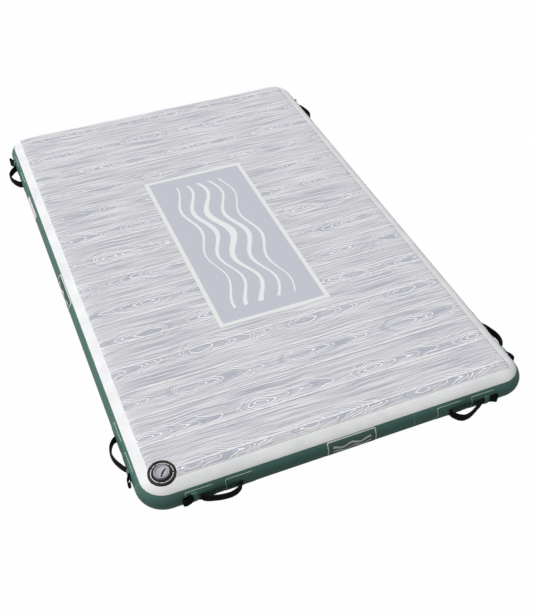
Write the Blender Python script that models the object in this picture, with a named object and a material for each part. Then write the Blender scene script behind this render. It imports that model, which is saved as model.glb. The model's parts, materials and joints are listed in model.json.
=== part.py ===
"""Inflatable dock platform: a drop-stitch air chamber with a foam deck pad, an air valve,
and webbing handles and tow loops sewn to patches on its side wall.

Metres, +Z up. The origin is under the middle of the dock, on the surface it lies on.
X runs across the width and Y along the length. The front end is at -Y.
"""

import math

import bmesh
import bpy
from mathutils import Matrix, Vector

# Air chamber
LENGTH = 2.868  # over the rounded ends
WIDTH = 1.830  # over the rounded sides
THICKNESS = 0.152  # of the inflated chamber, without the deck pad
EDGE_BULGE = 0.110  # how far the rounded edge stands out beyond the flat deck
CORNER_RADIUS = 0.125  # in plan, at the widest line of the wall
SHEET = 0.0012  # coated fabric of the top, the wall and the bottom
SEAM_ANGLE = math.radians(52)  # where the wall meets the top sheet, measured from straight up
FIT = 0.0003  # clearance between pieces that touch
TOP_STEPS = 6  # facets of the rounded edge above the seam
WALL_STEPS = 8  # facets of the wall between its two seams
CORNER_STEPS = 6  # facets of a plan corner
ROUND_STEPS = 28  # facets of the valve's large turned pieces
SMALL_ROUND_STEPS = 16  # facets of the valve's small turned pieces
RING_STEPS = 8  # facets round the wire of the sealing ring
OVERRUN = 0.010  # how far cutters run past what they cut
SMOOTH_SHEET = math.radians(30)  # edges that bend less than this are shaded smooth
SMOOTH_WEBBING = math.radians(50)

# Tapes that seal the two seams from inside
TAPE_SHEET = 0.0009

# Drop-stitch core: two base cloths held apart by threads
CORE_MARGIN = 0.060  # bare strip between the core and the edge of the flat deck
CORE_CLOTH = 0.0008
THREAD_PITCH = 0.265  # between the thread bundles that stand for the field of threads
THREAD_WIDTH = 0.005

# Deck pad
PAD_LENGTH = 2.727
PAD_WIDTH = 1.688
PAD_FOAM = 0.004
PAD_CORNER = 0.008
PAD_CORNER_STEPS = 2
PAD_VALVE_GAP = 0.0012  # ring of bare sheet round the valve surround

# Valve, placed from the edges of the dock and leaning with the rounded corner
VALVE_FROM_SIDE = 0.118
VALVE_FROM_END = 0.116
VALVE_LEAN = math.radians(4)
SEAT_RISE = 0.0026  # flange seat above the flat deck at the valve's axis
SURROUND_RADIUS = 0.0615
SURROUND_SHEET = 0.0015
BOSS_RADIUS = 0.0395
BOSS_DEPTH = 0.020
FLANGE_RADIUS = 0.0375
FLANGE_PLATE = 0.0025
FLANGE_CHAMFER = 0.0009
TUBE_RADIUS = 0.0205
TUBE_WALL = 0.0035
TUBE_DEPTH = 0.0340  # of the tube's lower rim below the flange seat
HUB_RADIUS = 0.0052
HUB_PLATE = 0.0035
HUB_DEPTH = 0.0165  # of the hub's upper face below the flange seat
SPOKE_WIDTH = 0.0028
SPOKES = 3
NUT_RADIUS = 0.0290
NUT_PLATE = 0.0060
NUT_NOTCH = 0.0030
NUT_NOTCHES = 6

# Poppet that closes the tube from below, held up by its spring
STEM_RADIUS = 0.0019
HEAD_RADIUS = 0.0062
HEAD_PLATE = 0.0028
HEAD_DEPTH = 0.0022  # of the head's upper face below the flange seat
DISC_RADIUS = 0.0185
DISC_PLATE = 0.0030
DISC_SEAL = 0.0019
DISC_SEAL_BAND = 0.0040
SPRING_WIRE = 0.0008
SPRING_RADIUS = 0.0042
SPRING_TURNS = 4
SPRING_POINTS_PER_TURN = 9

# Valve cap
CAP_RADIUS = 0.0315
CAP_PLATE = 0.0078
CAP_CHAMFER = 0.0014
RECESS_RADIUS = 0.0255
RECESS_DEPTH = 0.0057
RECESS_DRAFT = 0.0010
BAR_WIDTH = 0.0080
BAR_DROP = 0.0006  # of the grip bar's top below the cap's rim
BAR_TURN = math.radians(62)  # of the grip bar from the X axis
SKIRT_WALL = 0.0020
SKIRT_DEPTH = 0.0078  # of the skirt's lower rim below the flange seat
RING_WIRE = 0.0016  # of the sealing ring round the skirt
RING_DEPTH = 0.0035

# Patches on the wall that carry the webbing
PATCH_LENGTH = 0.132
PATCH_SHEET = 0.0010
PATCH_MARGIN_STEPS = 1  # wall facets left bare between each seam and a patch
OUTER_PATCH_FROM_END = 0.244  # patch centre from the end of its side
INNER_PATCH_FROM_END = 0.418
WEBBING = 0.0024  # thickness of the webbing sewn down on a patch
WEBBING_WIDTH = 0.040
HANDLE_TAB = 0.034  # length of webbing sewn down at each end of a handle
LOOP_TAB = 0.022

# Handles
KNUCKLE_RADIUS = 0.0080  # of the handle's rounded root, about its swing axis
HANDLE_BOW = 0.032  # how far the grip stands out from the swing axis
HANDLE_HEIGHT = 0.030
HANDLE_DEPTH = 0.0085  # thickness of the padded grip
HANDLE_TAPER = 0.016  # stretch over which the root widens to the grip
HANDLE_STEPS = 16
KNUCKLE_ANGLES = [math.radians(a) for a in (16, 45, 72)]
SECTION_SHARES = [(1.0, 0.45), (0.62, 1.0), (-0.62, 1.0), (-1.0, 0.45), (-1.0, -0.45), (-0.62, -1.0),
                  (0.62, -1.0), (1.0, -0.45)]

# Tow loops
LOOP_FROM_END = 0.206  # loop root from the end of its side
LOOP_REACH = 0.050
LOOP_ROOT = 0.0030
LOOP_NOSE = 0.0078
LOOP_STRAP = 0.0022
LOOP_WIDTH = 0.038
LOOP_EYE_START = 0.013  # where the two legs part, from the root
LOOP_EYE_ROOT = 0.0010
LOOP_OPEN = math.radians(12)  # rest angle between the loop and the wall
LOOP_ARC_STEPS = 6

# Labels on the wall
LABEL_SHEET = 0.0006
LABEL_ANGLE = math.radians(54.5)
FRONT_LABEL_LENGTH = 0.231
FRONT_LABEL_SHIFT = 0.0135  # of the label's middle from the middle of the front
LEFT_LABEL_LENGTH = 0.239
LEFT_LABEL_SHIFT = 0.030
PLATE_LENGTH = 0.206
PLATE_FROM_END = 0.699  # of the plate's middle from the rear end of the left side
PLATE_ANGLE = math.radians(66)

# Worked out from the sizes above
HALF_THICK = THICKNESS / 2
FLAT_HALF_X = WIDTH / 2 - EDGE_BULGE
FLAT_HALF_Y = LENGTH / 2 - EDGE_BULGE
TOP_ANGLES = [SEAM_ANGLE * i / TOP_STEPS for i in range(TOP_STEPS + 1)]
WALL_ANGLES = [SEAM_ANGLE + (math.pi - 2 * SEAM_ANGLE) * i / WALL_STEPS for i in range(WALL_STEPS + 1)]
SIDE_RISE = FIT + PATCH_SHEET + WEBBING  # from the wall to the face of sewn-down webbing
# depth of the nut's upper face below the flange seat, where its high side meets the top sheet
NUT_DEPTH = (SEAT_RISE + SHEET + FIT + NUT_RADIUS * math.sin(VALVE_LEAN)) / math.cos(VALVE_LEAN)
# each side's turn from the front, half its length, its distance from the middle, and its two ends
SIDES = {
    "front": (0.0, WIDTH / 2, LENGTH / 2, ("left", "right")),
    "right": (math.pi / 2, LENGTH / 2, WIDTH / 2, ("front", "rear")),
    "rear": (math.pi, WIDTH / 2, LENGTH / 2, ("right", "left")),
    "left": (-math.pi / 2, LENGTH / 2, WIDTH / 2, ("rear", "front")),
}

MATERIALS = {
    "white_sheet": ((0.83, 0.83, 0.83), 0.42),
    "green_sheet": ((0.045, 0.135, 0.105), 0.38),
    "grey_sheet": ((0.42, 0.44, 0.45), 0.50),
    "thread": ((0.72, 0.70, 0.64), 0.85),
    "deck_foam": ((0.66, 0.65, 0.70), 0.80),
    "black_rubber": ((0.015, 0.015, 0.016), 0.55),
    "grey_plastic": ((0.52, 0.52, 0.56), 0.38),
    "webbing": ((0.010, 0.010, 0.012), 0.85),
    "blank_plate": ((0.74, 0.70, 0.69), 0.50),
    "steel": ((0.60, 0.60, 0.62), 0.30),
}
METALS = {"steel"}


def clear_scene():
    for obj in list(bpy.data.objects):
        bpy.data.objects.remove(obj, do_unlink=True)


def make_material(name):
    colour, roughness = MATERIALS[name]
    material = bpy.data.materials.get(name) or bpy.data.materials.new(name)
    material.use_nodes = True
    shader = material.node_tree.nodes["Principled BSDF"]
    shader.inputs["Base Color"].default_value = (*colour, 1)
    shader.inputs["Roughness"].default_value = roughness
    shader.inputs["Metallic"].default_value = float(name in METALS)
    return material


# Mesh helpers


def finished_mesh(name, work):
    """Turns a bmesh into a mesh with its faces pointing out."""
    bmesh.ops.recalc_face_normals(work, faces=work.faces)
    mesh = bpy.data.meshes.new(name)
    work.to_mesh(mesh)
    work.free()
    return mesh


def join_rings(work, ring, after):
    """Faces between two rings of points. A ring of one point is a tip on the axis."""
    count = max(len(ring), len(after))
    for i in range(count):
        j = (i + 1) % count
        corners = [ring[i % len(ring)], ring[j % len(ring)], after[j % len(after)], after[i % len(after)]]
        corners = list(dict.fromkeys(corners))
        if len(corners) > 2:
            work.faces.new(corners)


def turned_mesh(name, outline, steps):
    """Solid turned about Z from a closed outline of (radius, height) points."""
    work = bmesh.new()
    rings = []
    for radius, height in outline:
        turns = [2 * math.pi * i / steps for i in range(steps)] if radius else [0]
        rings.append([work.verts.new((radius * math.cos(t), radius * math.sin(t), height)) for t in turns])
    for ring, after in zip(rings, rings[1:] + rings[:1]):
        if len(ring) > 1 or len(after) > 1:
            join_rings(work, ring, after)
    return finished_mesh(name, work)


def disc_mesh(name, radius, low, high):
    """Upright round plug."""
    return turned_mesh(name, [(0, low), (radius, low), (radius, high), (0, high)], ROUND_STEPS)


def ring_mesh(name, bore, radius, low, high, steps):
    """Upright round ring."""
    return turned_mesh(name, [(bore, low), (radius, low), (radius, high), (bore, high)], steps)


def prism_mesh(name, outline, low, high):
    """Upright prism over a plan outline."""
    work = bmesh.new()
    lower = [work.verts.new((x, y, low)) for x, y in outline]
    upper = [work.verts.new((x, y, high)) for x, y in outline]
    work.faces.new(lower)
    work.faces.new(upper)
    join_rings(work, lower, upper)
    return finished_mesh(name, work)


def box_mesh(name, low, high):
    outline = [(low[0], low[1]), (high[0], low[1]), (high[0], high[1]), (low[0], high[1])]
    return prism_mesh(name, outline, low[2], high[2])


def loft_mesh(name, sections):
    """Solid through a row of closed sections with equal numbers of points."""
    work = bmesh.new()
    rings = [[work.verts.new(point) for point in section] for section in sections]
    for ring, after in zip(rings, rings[1:]):
        join_rings(work, ring, after)
    work.faces.new(rings[0])
    work.faces.new(rings[-1])
    return finished_mesh(name, work)


def joined_boxes(name, boxes, place):
    """Several separate boxes in one mesh, used as a cutter. place gives each box its matrix."""
    work = bmesh.new()
    for index, (low, high) in enumerate(boxes):
        mesh = box_mesh(name, low, high)
        mesh.transform(place(index))
        work.from_mesh(mesh)
        bpy.data.meshes.remove(mesh)
    return finished_mesh(name, work)


def combined_mesh(name, base, steps):
    """Base mesh after boolean steps, each (operation, mesh)."""
    target = bpy.data.objects.new(name, base)
    bpy.context.collection.objects.link(target)
    tools = []
    for operation, mesh in steps:
        tool = bpy.data.objects.new(name + "_tool", mesh)
        tool.hide_render = True
        tool.display_type = "WIRE"
        bpy.context.collection.objects.link(tool)
        modifier = target.modifiers.new(operation.lower(), "BOOLEAN")
        modifier.operation = operation
        modifier.solver = "EXACT"
        modifier.object = tool
        tools.append(tool)
    bpy.context.view_layer.update()
    graph = bpy.context.evaluated_depsgraph_get()
    result = bpy.data.meshes.new_from_object(target.evaluated_get(graph))
    result.name = name
    for obj in [target] + tools:
        bpy.data.objects.remove(obj, do_unlink=True)
    return result


def place_piece(name, mesh, material, parent=None, location=None, rotation=None, smooth=None):
    piece = bpy.data.objects.new(name, mesh)
    bpy.context.collection.objects.link(piece)
    piece.data.materials.clear()
    piece.data.materials.append(make_material(material))
    if smooth:
        mesh.shade_smooth()
        mesh.set_sharp_from_angle(angle=smooth)
    piece.parent = parent
    piece.location = location or (0, 0, 0)
    piece.rotation_euler = rotation or (0, 0, 0)
    return piece


# Air chamber


def edge_point(angle, offset):
    """Reach beyond the flat deck, and height, of the rounded edge moved out by offset.

    The angle runs from straight up over the deck to straight down under the bottom.
    """
    reach = EDGE_BULGE * math.sin(angle)
    height = HALF_THICK * math.cos(angle)
    normal = Vector((math.sin(angle) / EDGE_BULGE, math.cos(angle) / HALF_THICK)).normalized()
    return reach + offset * normal.x, HALF_THICK + height + offset * normal.y


def rounded_rectangle(half_x, half_y, radius, steps):
    points = []
    for quarter, (sx, sy) in enumerate([(1, 1), (-1, 1), (-1, -1), (1, -1)]):
        for i in range(steps + 1):
            turn = math.pi / 2 * (quarter + i / steps)
            x = sx * (half_x - radius) + radius * math.cos(turn)
            y = sy * (half_y - radius) + radius * math.sin(turn)
            points.append((x, y))
    return points


def edge_ring(work, angle, offset):
    reach, height = edge_point(angle, offset)
    radius = CORNER_RADIUS - EDGE_BULGE + reach
    outline = rounded_rectangle(FLAT_HALF_X + reach, FLAT_HALF_Y + reach, radius, CORNER_STEPS)
    return [work.verts.new((x, y, height)) for x, y in outline]


def sheet_mesh(name, angles, inner, outer, closed_middle):
    """Layer of the chamber's surface between two offsets. closed_middle spans the flat deck too."""
    work = bmesh.new()
    faces = [[edge_ring(work, angle, offset) for angle in angles] for offset in (inner, outer)]
    for rings in faces:
        for ring, after in zip(rings, rings[1:]):
            join_rings(work, ring, after)
        if closed_middle:
            work.faces.new(rings[0])
    join_rings(work, faces[0][-1], faces[1][-1])
    if not closed_middle:
        join_rings(work, faces[0][0], faces[1][0])
    return finished_mesh(name, work)


def chamber_block(name, offset):
    """Solid under the chamber's upper surface moved out by offset, for cutting what lies on it."""
    work = bmesh.new()
    angles = TOP_ANGLES + [math.pi / 2]
    rings = [edge_ring(work, angle, offset) for angle in angles]
    for ring, after in zip(rings, rings[1:]):
        join_rings(work, ring, after)
    work.faces.new(rings[0])
    work.faces.new(rings[-1])
    return finished_mesh(name, work)


def seam_gap(angle):
    """Angle that leaves the fitting clearance along the rounded edge at a seam."""
    run = math.hypot(EDGE_BULGE * math.cos(angle), HALF_THICK * math.sin(angle))
    return FIT / run


def build_chamber(valve):
    hole = disc_mesh("valve_hole", TUBE_RADIUS + FIT, -BOSS_DEPTH - OVERRUN, BOSS_DEPTH)
    hole.transform(valve)
    top = sheet_mesh("top_skin", TOP_ANGLES, -SHEET, 0, True)
    place_piece("top_skin", combined_mesh("top_skin", top, [("DIFFERENCE", hole)]), "white_sheet",
                smooth=SMOOTH_SHEET)
    gap = seam_gap(SEAM_ANGLE)
    wall = [WALL_ANGLES[0] + gap] + WALL_ANGLES[1:-1] + [WALL_ANGLES[-1] - gap]
    place_piece("side_wall", sheet_mesh("side_wall", wall, -SHEET, 0, False), "green_sheet",
                smooth=SMOOTH_SHEET)
    bottom = [math.pi - angle for angle in TOP_ANGLES]
    place_piece("bottom_skin", sheet_mesh("bottom_skin", bottom, -SHEET, 0, True), "grey_sheet",
                smooth=SMOOTH_SHEET)


def build_tapes():
    """Tapes glued over both seams from inside, one facet wide on each side of the seam."""
    inner = -SHEET - FIT - TAPE_SHEET
    outer = -SHEET - FIT
    upper = [TOP_ANGLES[-2], SEAM_ANGLE, WALL_ANGLES[1]]
    lower = [math.pi - angle for angle in upper]
    place_piece("top_seam_tape", sheet_mesh("top_seam_tape", upper, inner, outer, False),
                "white_sheet", smooth=SMOOTH_SHEET)
    place_piece("bottom_seam_tape", sheet_mesh("bottom_seam_tape", lower, inner, outer, False),
                "grey_sheet", smooth=SMOOTH_SHEET)


def spread(half, pitch, width):
    """Edges of evenly spread strips along one direction, with the outer edges of the cloth."""
    count = max(1, int(2 * half / pitch))
    step = 2 * half / count
    edges = [-half]
    for i in range(count):
        middle = -half + step * (i + 0.5)
        edges += [middle - width / 2, middle + width / 2]
    return edges + [half]


def build_core():
    """Two base cloths joined by thread bundles, each one square post, as one solid."""
    xs = spread(FLAT_HALF_X - CORE_MARGIN, THREAD_PITCH, THREAD_WIDTH)
    ys = spread(FLAT_HALF_Y - CORE_MARGIN, THREAD_PITCH, THREAD_WIDTH)
    floor = SHEET + FIT
    ceiling = THICKNESS - SHEET - FIT
    levels = (floor, floor + CORE_CLOTH, ceiling - CORE_CLOTH, ceiling)
    work = bmesh.new()
    inner = [{(i, j): work.verts.new((x, y, z)) for i, x in enumerate(xs) for j, y in enumerate(ys)}
             for z in levels[1:3]]
    outline = [(0, 0), (len(xs) - 1, 0), (len(xs) - 1, len(ys) - 1), (0, len(ys) - 1)]
    outer = [[work.verts.new((xs[i], ys[j], z)) for i, j in outline] for z in (levels[0], levels[3])]
    for i in range(len(xs) - 1):
        for j in range(len(ys) - 1):
            corners = [(i, j), (i + 1, j), (i + 1, j + 1), (i, j + 1)]
            if i % 2 and j % 2:
                join_rings(work, [inner[0][c] for c in corners], [inner[1][c] for c in corners])
            else:
                for side in inner:
                    work.faces.new([side[c] for c in corners])
    for side, cloth in zip(inner, outer):
        rim = [(i, 0) for i in range(len(xs))] + [(len(xs) - 1, j) for j in range(1, len(ys))]
        rim += [(i, len(ys) - 1) for i in reversed(range(len(xs) - 1))]
        rim += [(0, j) for j in reversed(range(1, len(ys) - 1))]
        starts = [rim.index(corner) for corner in outline] + [len(rim)]
        for k in range(4):
            run = [side[rim[m % len(rim)]] for m in range(starts[k], starts[k + 1] + 1)]
            work.faces.new(run + [cloth[(k + 1) % 4], cloth[k]])
        work.faces.new(cloth)
    place_piece("drop_stitch_core", finished_mesh("drop_stitch_core", work), "thread")


def build_deck_pad(valve):
    low = THICKNESS - BOSS_DEPTH - OVERRUN
    high = THICKNESS + PAD_FOAM + OVERRUN
    outline = rounded_rectangle(PAD_WIDTH / 2, PAD_LENGTH / 2, PAD_CORNER, PAD_CORNER_STEPS)
    well = disc_mesh("valve_well", SURROUND_RADIUS + PAD_VALVE_GAP, -BOSS_DEPTH, BOSS_DEPTH)
    well.transform(valve)
    # the well breaks out through both edges of the pad, so the corner beyond it is cut away too
    inner = (valve.translation.x, valve.translation.y, high)
    corner = box_mesh("pad_corner", (-WIDTH / 2, -LENGTH / 2, low), inner)
    layer = sheet_mesh("deck_pad", TOP_ANGLES[:-1], FIT, FIT + PAD_FOAM, True)
    steps = [("INTERSECT", prism_mesh("pad_outline", outline, low, high)), ("DIFFERENCE", well),
             ("DIFFERENCE", corner)]
    place_piece("deck_pad", combined_mesh("deck_pad", layer, steps), "deck_foam")


# Valve, modelled about its own axis with the flange seat at height zero


def valve_matrix():
    """Place of the valve's axis: near the front left corner, leaning out over it."""
    x = -WIDTH / 2 + VALVE_FROM_SIDE
    y = -LENGTH / 2 + VALVE_FROM_END
    lean = Matrix.Rotation(VALVE_LEAN, 4, Vector((1, -1, 0)).normalized())
    return Matrix.Translation((x, y, THICKNESS + SEAT_RISE)) @ lean


def build_surround(valve):
    disc = disc_mesh("surround_disc", SURROUND_RADIUS, -BOSS_DEPTH, BOSS_DEPTH)
    boss = disc_mesh("surround_boss", BOSS_RADIUS, -BOSS_DEPTH, 0)
    hole = disc_mesh("surround_hole", TUBE_RADIUS + FIT, -BOSS_DEPTH - OVERRUN, OVERRUN)
    seat = disc_mesh("surround_seat", BOSS_RADIUS, 0, OVERRUN)
    for mesh in (disc, boss, hole, seat):
        mesh.transform(valve)
    steps = [
        ("INTERSECT", chamber_block("surround_top", FIT + SURROUND_SHEET)),
        ("DIFFERENCE", seat),
        ("UNION", boss),
        ("DIFFERENCE", chamber_block("surround_underside", FIT)),
        ("DIFFERENCE", hole),
    ]
    place_piece("valve_surround", combined_mesh("valve_surround", disc, steps), "black_rubber")


def build_valve_body(axis):
    top = FIT + FLANGE_PLATE
    bore = TUBE_RADIUS - TUBE_WALL
    outline = [(bore, top), (FLANGE_RADIUS - FLANGE_CHAMFER, top), (FLANGE_RADIUS, top - FLANGE_CHAMFER),
               (FLANGE_RADIUS, FIT), (TUBE_RADIUS, FIT), (TUBE_RADIUS, -TUBE_DEPTH), (bore, -TUBE_DEPTH)]
    shell = turned_mesh("valve_body", outline, ROUND_STEPS)
    guide = STEM_RADIUS + FIT
    low = -HUB_DEPTH - HUB_PLATE
    hub = ring_mesh("valve_hub", guide, HUB_RADIUS, low, -HUB_DEPTH, SMALL_ROUND_STEPS)
    start = (HUB_RADIUS + guide) / 2
    end = TUBE_RADIUS - TUBE_WALL / 2
    spoke = ((start, -SPOKE_WIDTH / 2, low + FIT), (end, SPOKE_WIDTH / 2, -HUB_DEPTH - FIT))
    spokes = joined_boxes("valve_spokes", [spoke] * SPOKES,
                          lambda index: Matrix.Rotation(2 * math.pi * index / SPOKES, 4, "Z"))
    mesh = combined_mesh("valve_body", shell, [("UNION", spokes), ("UNION", hub)])
    place_piece("valve_body", mesh, "grey_plastic", axis, smooth=SMOOTH_SHEET)


def build_valve_nut(axis):
    low = -NUT_DEPTH - NUT_PLATE
    ring = ring_mesh("valve_nut", TUBE_RADIUS + FIT, NUT_RADIUS, low, -NUT_DEPTH, ROUND_STEPS)
    notch = ((NUT_RADIUS - NUT_NOTCH, -NUT_NOTCH, low - OVERRUN),
             (NUT_RADIUS + OVERRUN, NUT_NOTCH, OVERRUN))
    notches = joined_boxes("nut_notches", [notch] * NUT_NOTCHES,
                           lambda index: Matrix.Rotation(2 * math.pi * index / NUT_NOTCHES, 4, "Z"))
    mesh = combined_mesh("valve_nut", ring, [("DIFFERENCE", notches)])
    place_piece("valve_nut", mesh, "grey_plastic", axis)


def build_poppet(axis):
    seal_top = -TUBE_DEPTH - FIT
    disc_top = seal_top - DISC_SEAL - FIT
    disc_low = disc_top - DISC_PLATE
    head_low = -HEAD_DEPTH - HEAD_PLATE
    outline = [(0, disc_low), (DISC_RADIUS, disc_low), (DISC_RADIUS, disc_top), (STEM_RADIUS, disc_top),
               (STEM_RADIUS, head_low), (HEAD_RADIUS, head_low), (HEAD_RADIUS, -HEAD_DEPTH),
               (0, -HEAD_DEPTH)]
    place_piece("valve_poppet", turned_mesh("valve_poppet", outline, SMALL_ROUND_STEPS), "grey_plastic",
                axis, smooth=SMOOTH_SHEET)
    seal = ring_mesh("poppet_seal", DISC_RADIUS - DISC_SEAL_BAND, DISC_RADIUS, seal_top - DISC_SEAL,
                     seal_top, SMALL_ROUND_STEPS)
    place_piece("poppet_seal", seal, "black_rubber", axis, smooth=SMOOTH_SHEET)
    build_spring(axis, head_low)


def build_spring(axis, head_low):
    """Coil spring between the hub and the poppet's head."""
    low = -HUB_DEPTH + FIT + SPRING_WIRE / 2
    high = head_low - FIT - SPRING_WIRE / 2
    count = SPRING_TURNS * SPRING_POINTS_PER_TURN
    curve = bpy.data.curves.new("valve_spring", "CURVE")
    curve.dimensions = "3D"
    curve.bevel_depth = SPRING_WIRE / 2
    curve.bevel_resolution = 1
    curve.resolution_u = 1
    curve.render_resolution_u = 0
    curve.use_fill_caps = True
    spline = curve.splines.new("POLY")
    spline.points.add(count)
    for i, point in enumerate(spline.points):
        turn = 2 * math.pi * i / SPRING_POINTS_PER_TURN
        height = low + (high - low) * i / count
        point.co = (SPRING_RADIUS * math.cos(turn), SPRING_RADIUS * math.sin(turn), height, 1)
    rise = (high - low) / SPRING_TURNS
    print("spring coils lie", round((rise - SPRING_WIRE) * 1000, 2), "mm apart")
    place_piece("valve_spring", curve, "steel", axis)


def build_cap(axis):
    under = FIT + FLANGE_PLATE + FIT
    top = under + CAP_PLATE
    floor = top - RECESS_DEPTH
    ring_gap = FIT + RING_WIRE + FIT
    skirt = TUBE_RADIUS - TUBE_WALL - ring_gap
    outline = [(0, under), (skirt - SKIRT_WALL, under), (skirt - SKIRT_WALL, -SKIRT_DEPTH),
               (skirt, -SKIRT_DEPTH), (skirt, under), (CAP_RADIUS, under), (CAP_RADIUS, top - CAP_CHAMFER),
               (CAP_RADIUS - CAP_CHAMFER, top), (RECESS_RADIUS, top), (RECESS_RADIUS - RECESS_DRAFT, floor),
               (0, floor)]
    plate = turned_mesh("valve_cap", outline, ROUND_STEPS)
    half_bar = (RECESS_RADIUS + CAP_RADIUS - CAP_CHAMFER) / 2
    bar = box_mesh("grip_bar", (-half_bar, -BAR_WIDTH / 2, (under + floor) / 2),
                   (half_bar, BAR_WIDTH / 2, top - BAR_DROP))
    bar.transform(Matrix.Rotation(BAR_TURN, 4, "Z"))
    mesh = combined_mesh("valve_cap", plate, [("UNION", bar)])
    place_piece("valve_cap", mesh, "grey_plastic", axis, smooth=SMOOTH_SHEET)
    middle = skirt + FIT + RING_WIRE / 2
    turns = [2 * math.pi * (i + 0.5) / RING_STEPS for i in range(RING_STEPS)]
    outline = [(middle + RING_WIRE / 2 * math.cos(t), -RING_DEPTH + RING_WIRE / 2 * math.sin(t))
               for t in turns]
    place_piece("cap_seal", turned_mesh("cap_seal", outline, ROUND_STEPS), "black_rubber", axis,
                smooth=SMOOTH_WEBBING)


def build_valve(valve):
    axis = bpy.data.objects.new("valve_axis", None)
    bpy.context.collection.objects.link(axis)
    axis.matrix_world = valve
    build_surround(valve)
    build_valve_body(axis)
    build_valve_nut(axis)
    build_poppet(axis)
    build_cap(axis)


# Side fittings, modelled on a wall that faces -Y: X runs along the side, Y = 0 is its widest line
# and Z = 0 is half way up. place_on_side then turns them to each side of the dock.


def wall_strip(name, angles, inner, outer, start, end):
    """Strip that follows the wall between two distances along the side."""
    section = []
    for offset, run in ((inner, angles), (outer, list(reversed(angles)))):
        for angle in run:
            reach, height = edge_point(angle, offset)
            section.append((EDGE_BULGE - reach, height - HALF_THICK))
    return loft_mesh(name, [[(x, y, z) for y, z in section] for x in (start, end)])


def patch_mesh(name, tabs):
    """Patch with its sewn-down webbing. tabs are (middle, length) along the patch."""
    inner_angles = WALL_ANGLES[PATCH_MARGIN_STEPS:-PATCH_MARGIN_STEPS]
    sheet = wall_strip(name, inner_angles, FIT, FIT + PATCH_SHEET, -PATCH_LENGTH / 2, PATCH_LENGTH / 2)
    edge = math.acos(WEBBING_WIDTH / 2 / HALF_THICK)
    angles = [edge] + [a for a in WALL_ANGLES if edge < a < math.pi - edge] + [math.pi - edge]
    steps = []
    for middle, length in tabs:
        tab = wall_strip(name + "_tab", angles, FIT + PATCH_SHEET / 2, SIDE_RISE, middle - length / 2,
                         middle + length / 2)
        steps.append(("UNION", tab))
    return combined_mesh(name, sheet, steps)


def handle_mesh():
    """Bowed grip of folded webbing. Its rounded roots turn about the line through both of them."""
    half_span = (INNER_PATCH_FROM_END - OUTER_PATCH_FROM_END) / 2
    stations = []
    for turn in KNUCKLE_ANGLES:
        out = -KNUCKLE_RADIUS * math.cos(turn)
        stations.append((-half_span, out, 0.0, KNUCKLE_RADIUS * math.sin(turn)))
    for i in range(HANDLE_STEPS + 1):
        turn = math.pi * i / HANDLE_STEPS
        out = HANDLE_BOW * math.sin(turn)
        widen = min(1.0, out / HANDLE_TAPER)
        widen = widen * widen * (3 - 2 * widen)
        height = KNUCKLE_RADIUS + (HANDLE_HEIGHT / 2 - KNUCKLE_RADIUS) * widen
        heading = math.atan2(half_span * math.sin(turn), HANDLE_BOW * math.cos(turn))
        stations.append((-half_span * math.cos(turn), out, heading, height))
    for along, out, _, height in reversed(stations[:len(KNUCKLE_ANGLES)]):
        stations.append((-along, out, math.pi, height))
    sections = []
    for along, out, heading, height in stations:
        side = Vector((math.cos(heading), math.sin(heading)))
        section = []
        for thick_share, height_share in SECTION_SHARES:
            shift = HANDLE_DEPTH / 2 * thick_share
            section.append((along + side.x * shift, -(out - side.y * shift), height * height_share))
        sections.append(section)
    return loft_mesh("handle", sections)


def link_outline(length, root, nose, start):
    """Outline round two circles on one line: a small one at start and a larger one at length."""
    slope = math.asin((nose - root) / (length - start))
    points = []
    for i in range(LOOP_ARC_STEPS + 1):
        turn = -math.pi / 2 - slope + (math.pi + 2 * slope) * i / LOOP_ARC_STEPS
        points.append((length + nose * math.cos(turn), nose * math.sin(turn)))
    for i in range(LOOP_ARC_STEPS + 1):
        turn = math.pi / 2 + slope + (math.pi - 2 * slope) * i / LOOP_ARC_STEPS
        points.append((start + root * math.cos(turn), root * math.sin(turn)))
    return points


def loop_mesh(name, direction):
    """Tow loop about its root axis, pointing along the side and leaning out by its rest angle."""
    outer = link_outline(LOOP_REACH, LOOP_ROOT, LOOP_NOSE, 0)
    inner = link_outline(LOOP_REACH, LOOP_EYE_ROOT, LOOP_NOSE - LOOP_STRAP, LOOP_EYE_START)
    work = bmesh.new()
    levels = []
    for z in (-LOOP_WIDTH / 2, LOOP_WIDTH / 2):
        levels.append([[work.verts.new((x, y, z)) for x, y in outline] for outline in (outer, inner)])
    for rims in levels:
        join_rings(work, rims[0], rims[1])
    for lower, upper in zip(*levels):
        join_rings(work, lower, upper)
    mesh = finished_mesh(name, work)
    mesh.transform(Matrix.Rotation(-LOOP_OPEN, 4, "Z"))
    if direction < 0:
        mesh.transform(Matrix.Scale(-1, 4, Vector((1, 0, 0))))
        mesh.flip_normals()
    return mesh


def place_on_side(side, name, mesh, material, along, out, smooth=None):
    """Puts a fitting on a side: along the side from its middle, out from the wall's widest line."""
    turn, _, distance, _ = SIDES[side]
    spot = Matrix.Rotation(turn, 4, "Z") @ Vector((along, -distance - out, HALF_THICK))
    return place_piece(name, mesh, material, location=spot, rotation=(0, 0, turn), smooth=smooth)


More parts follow.
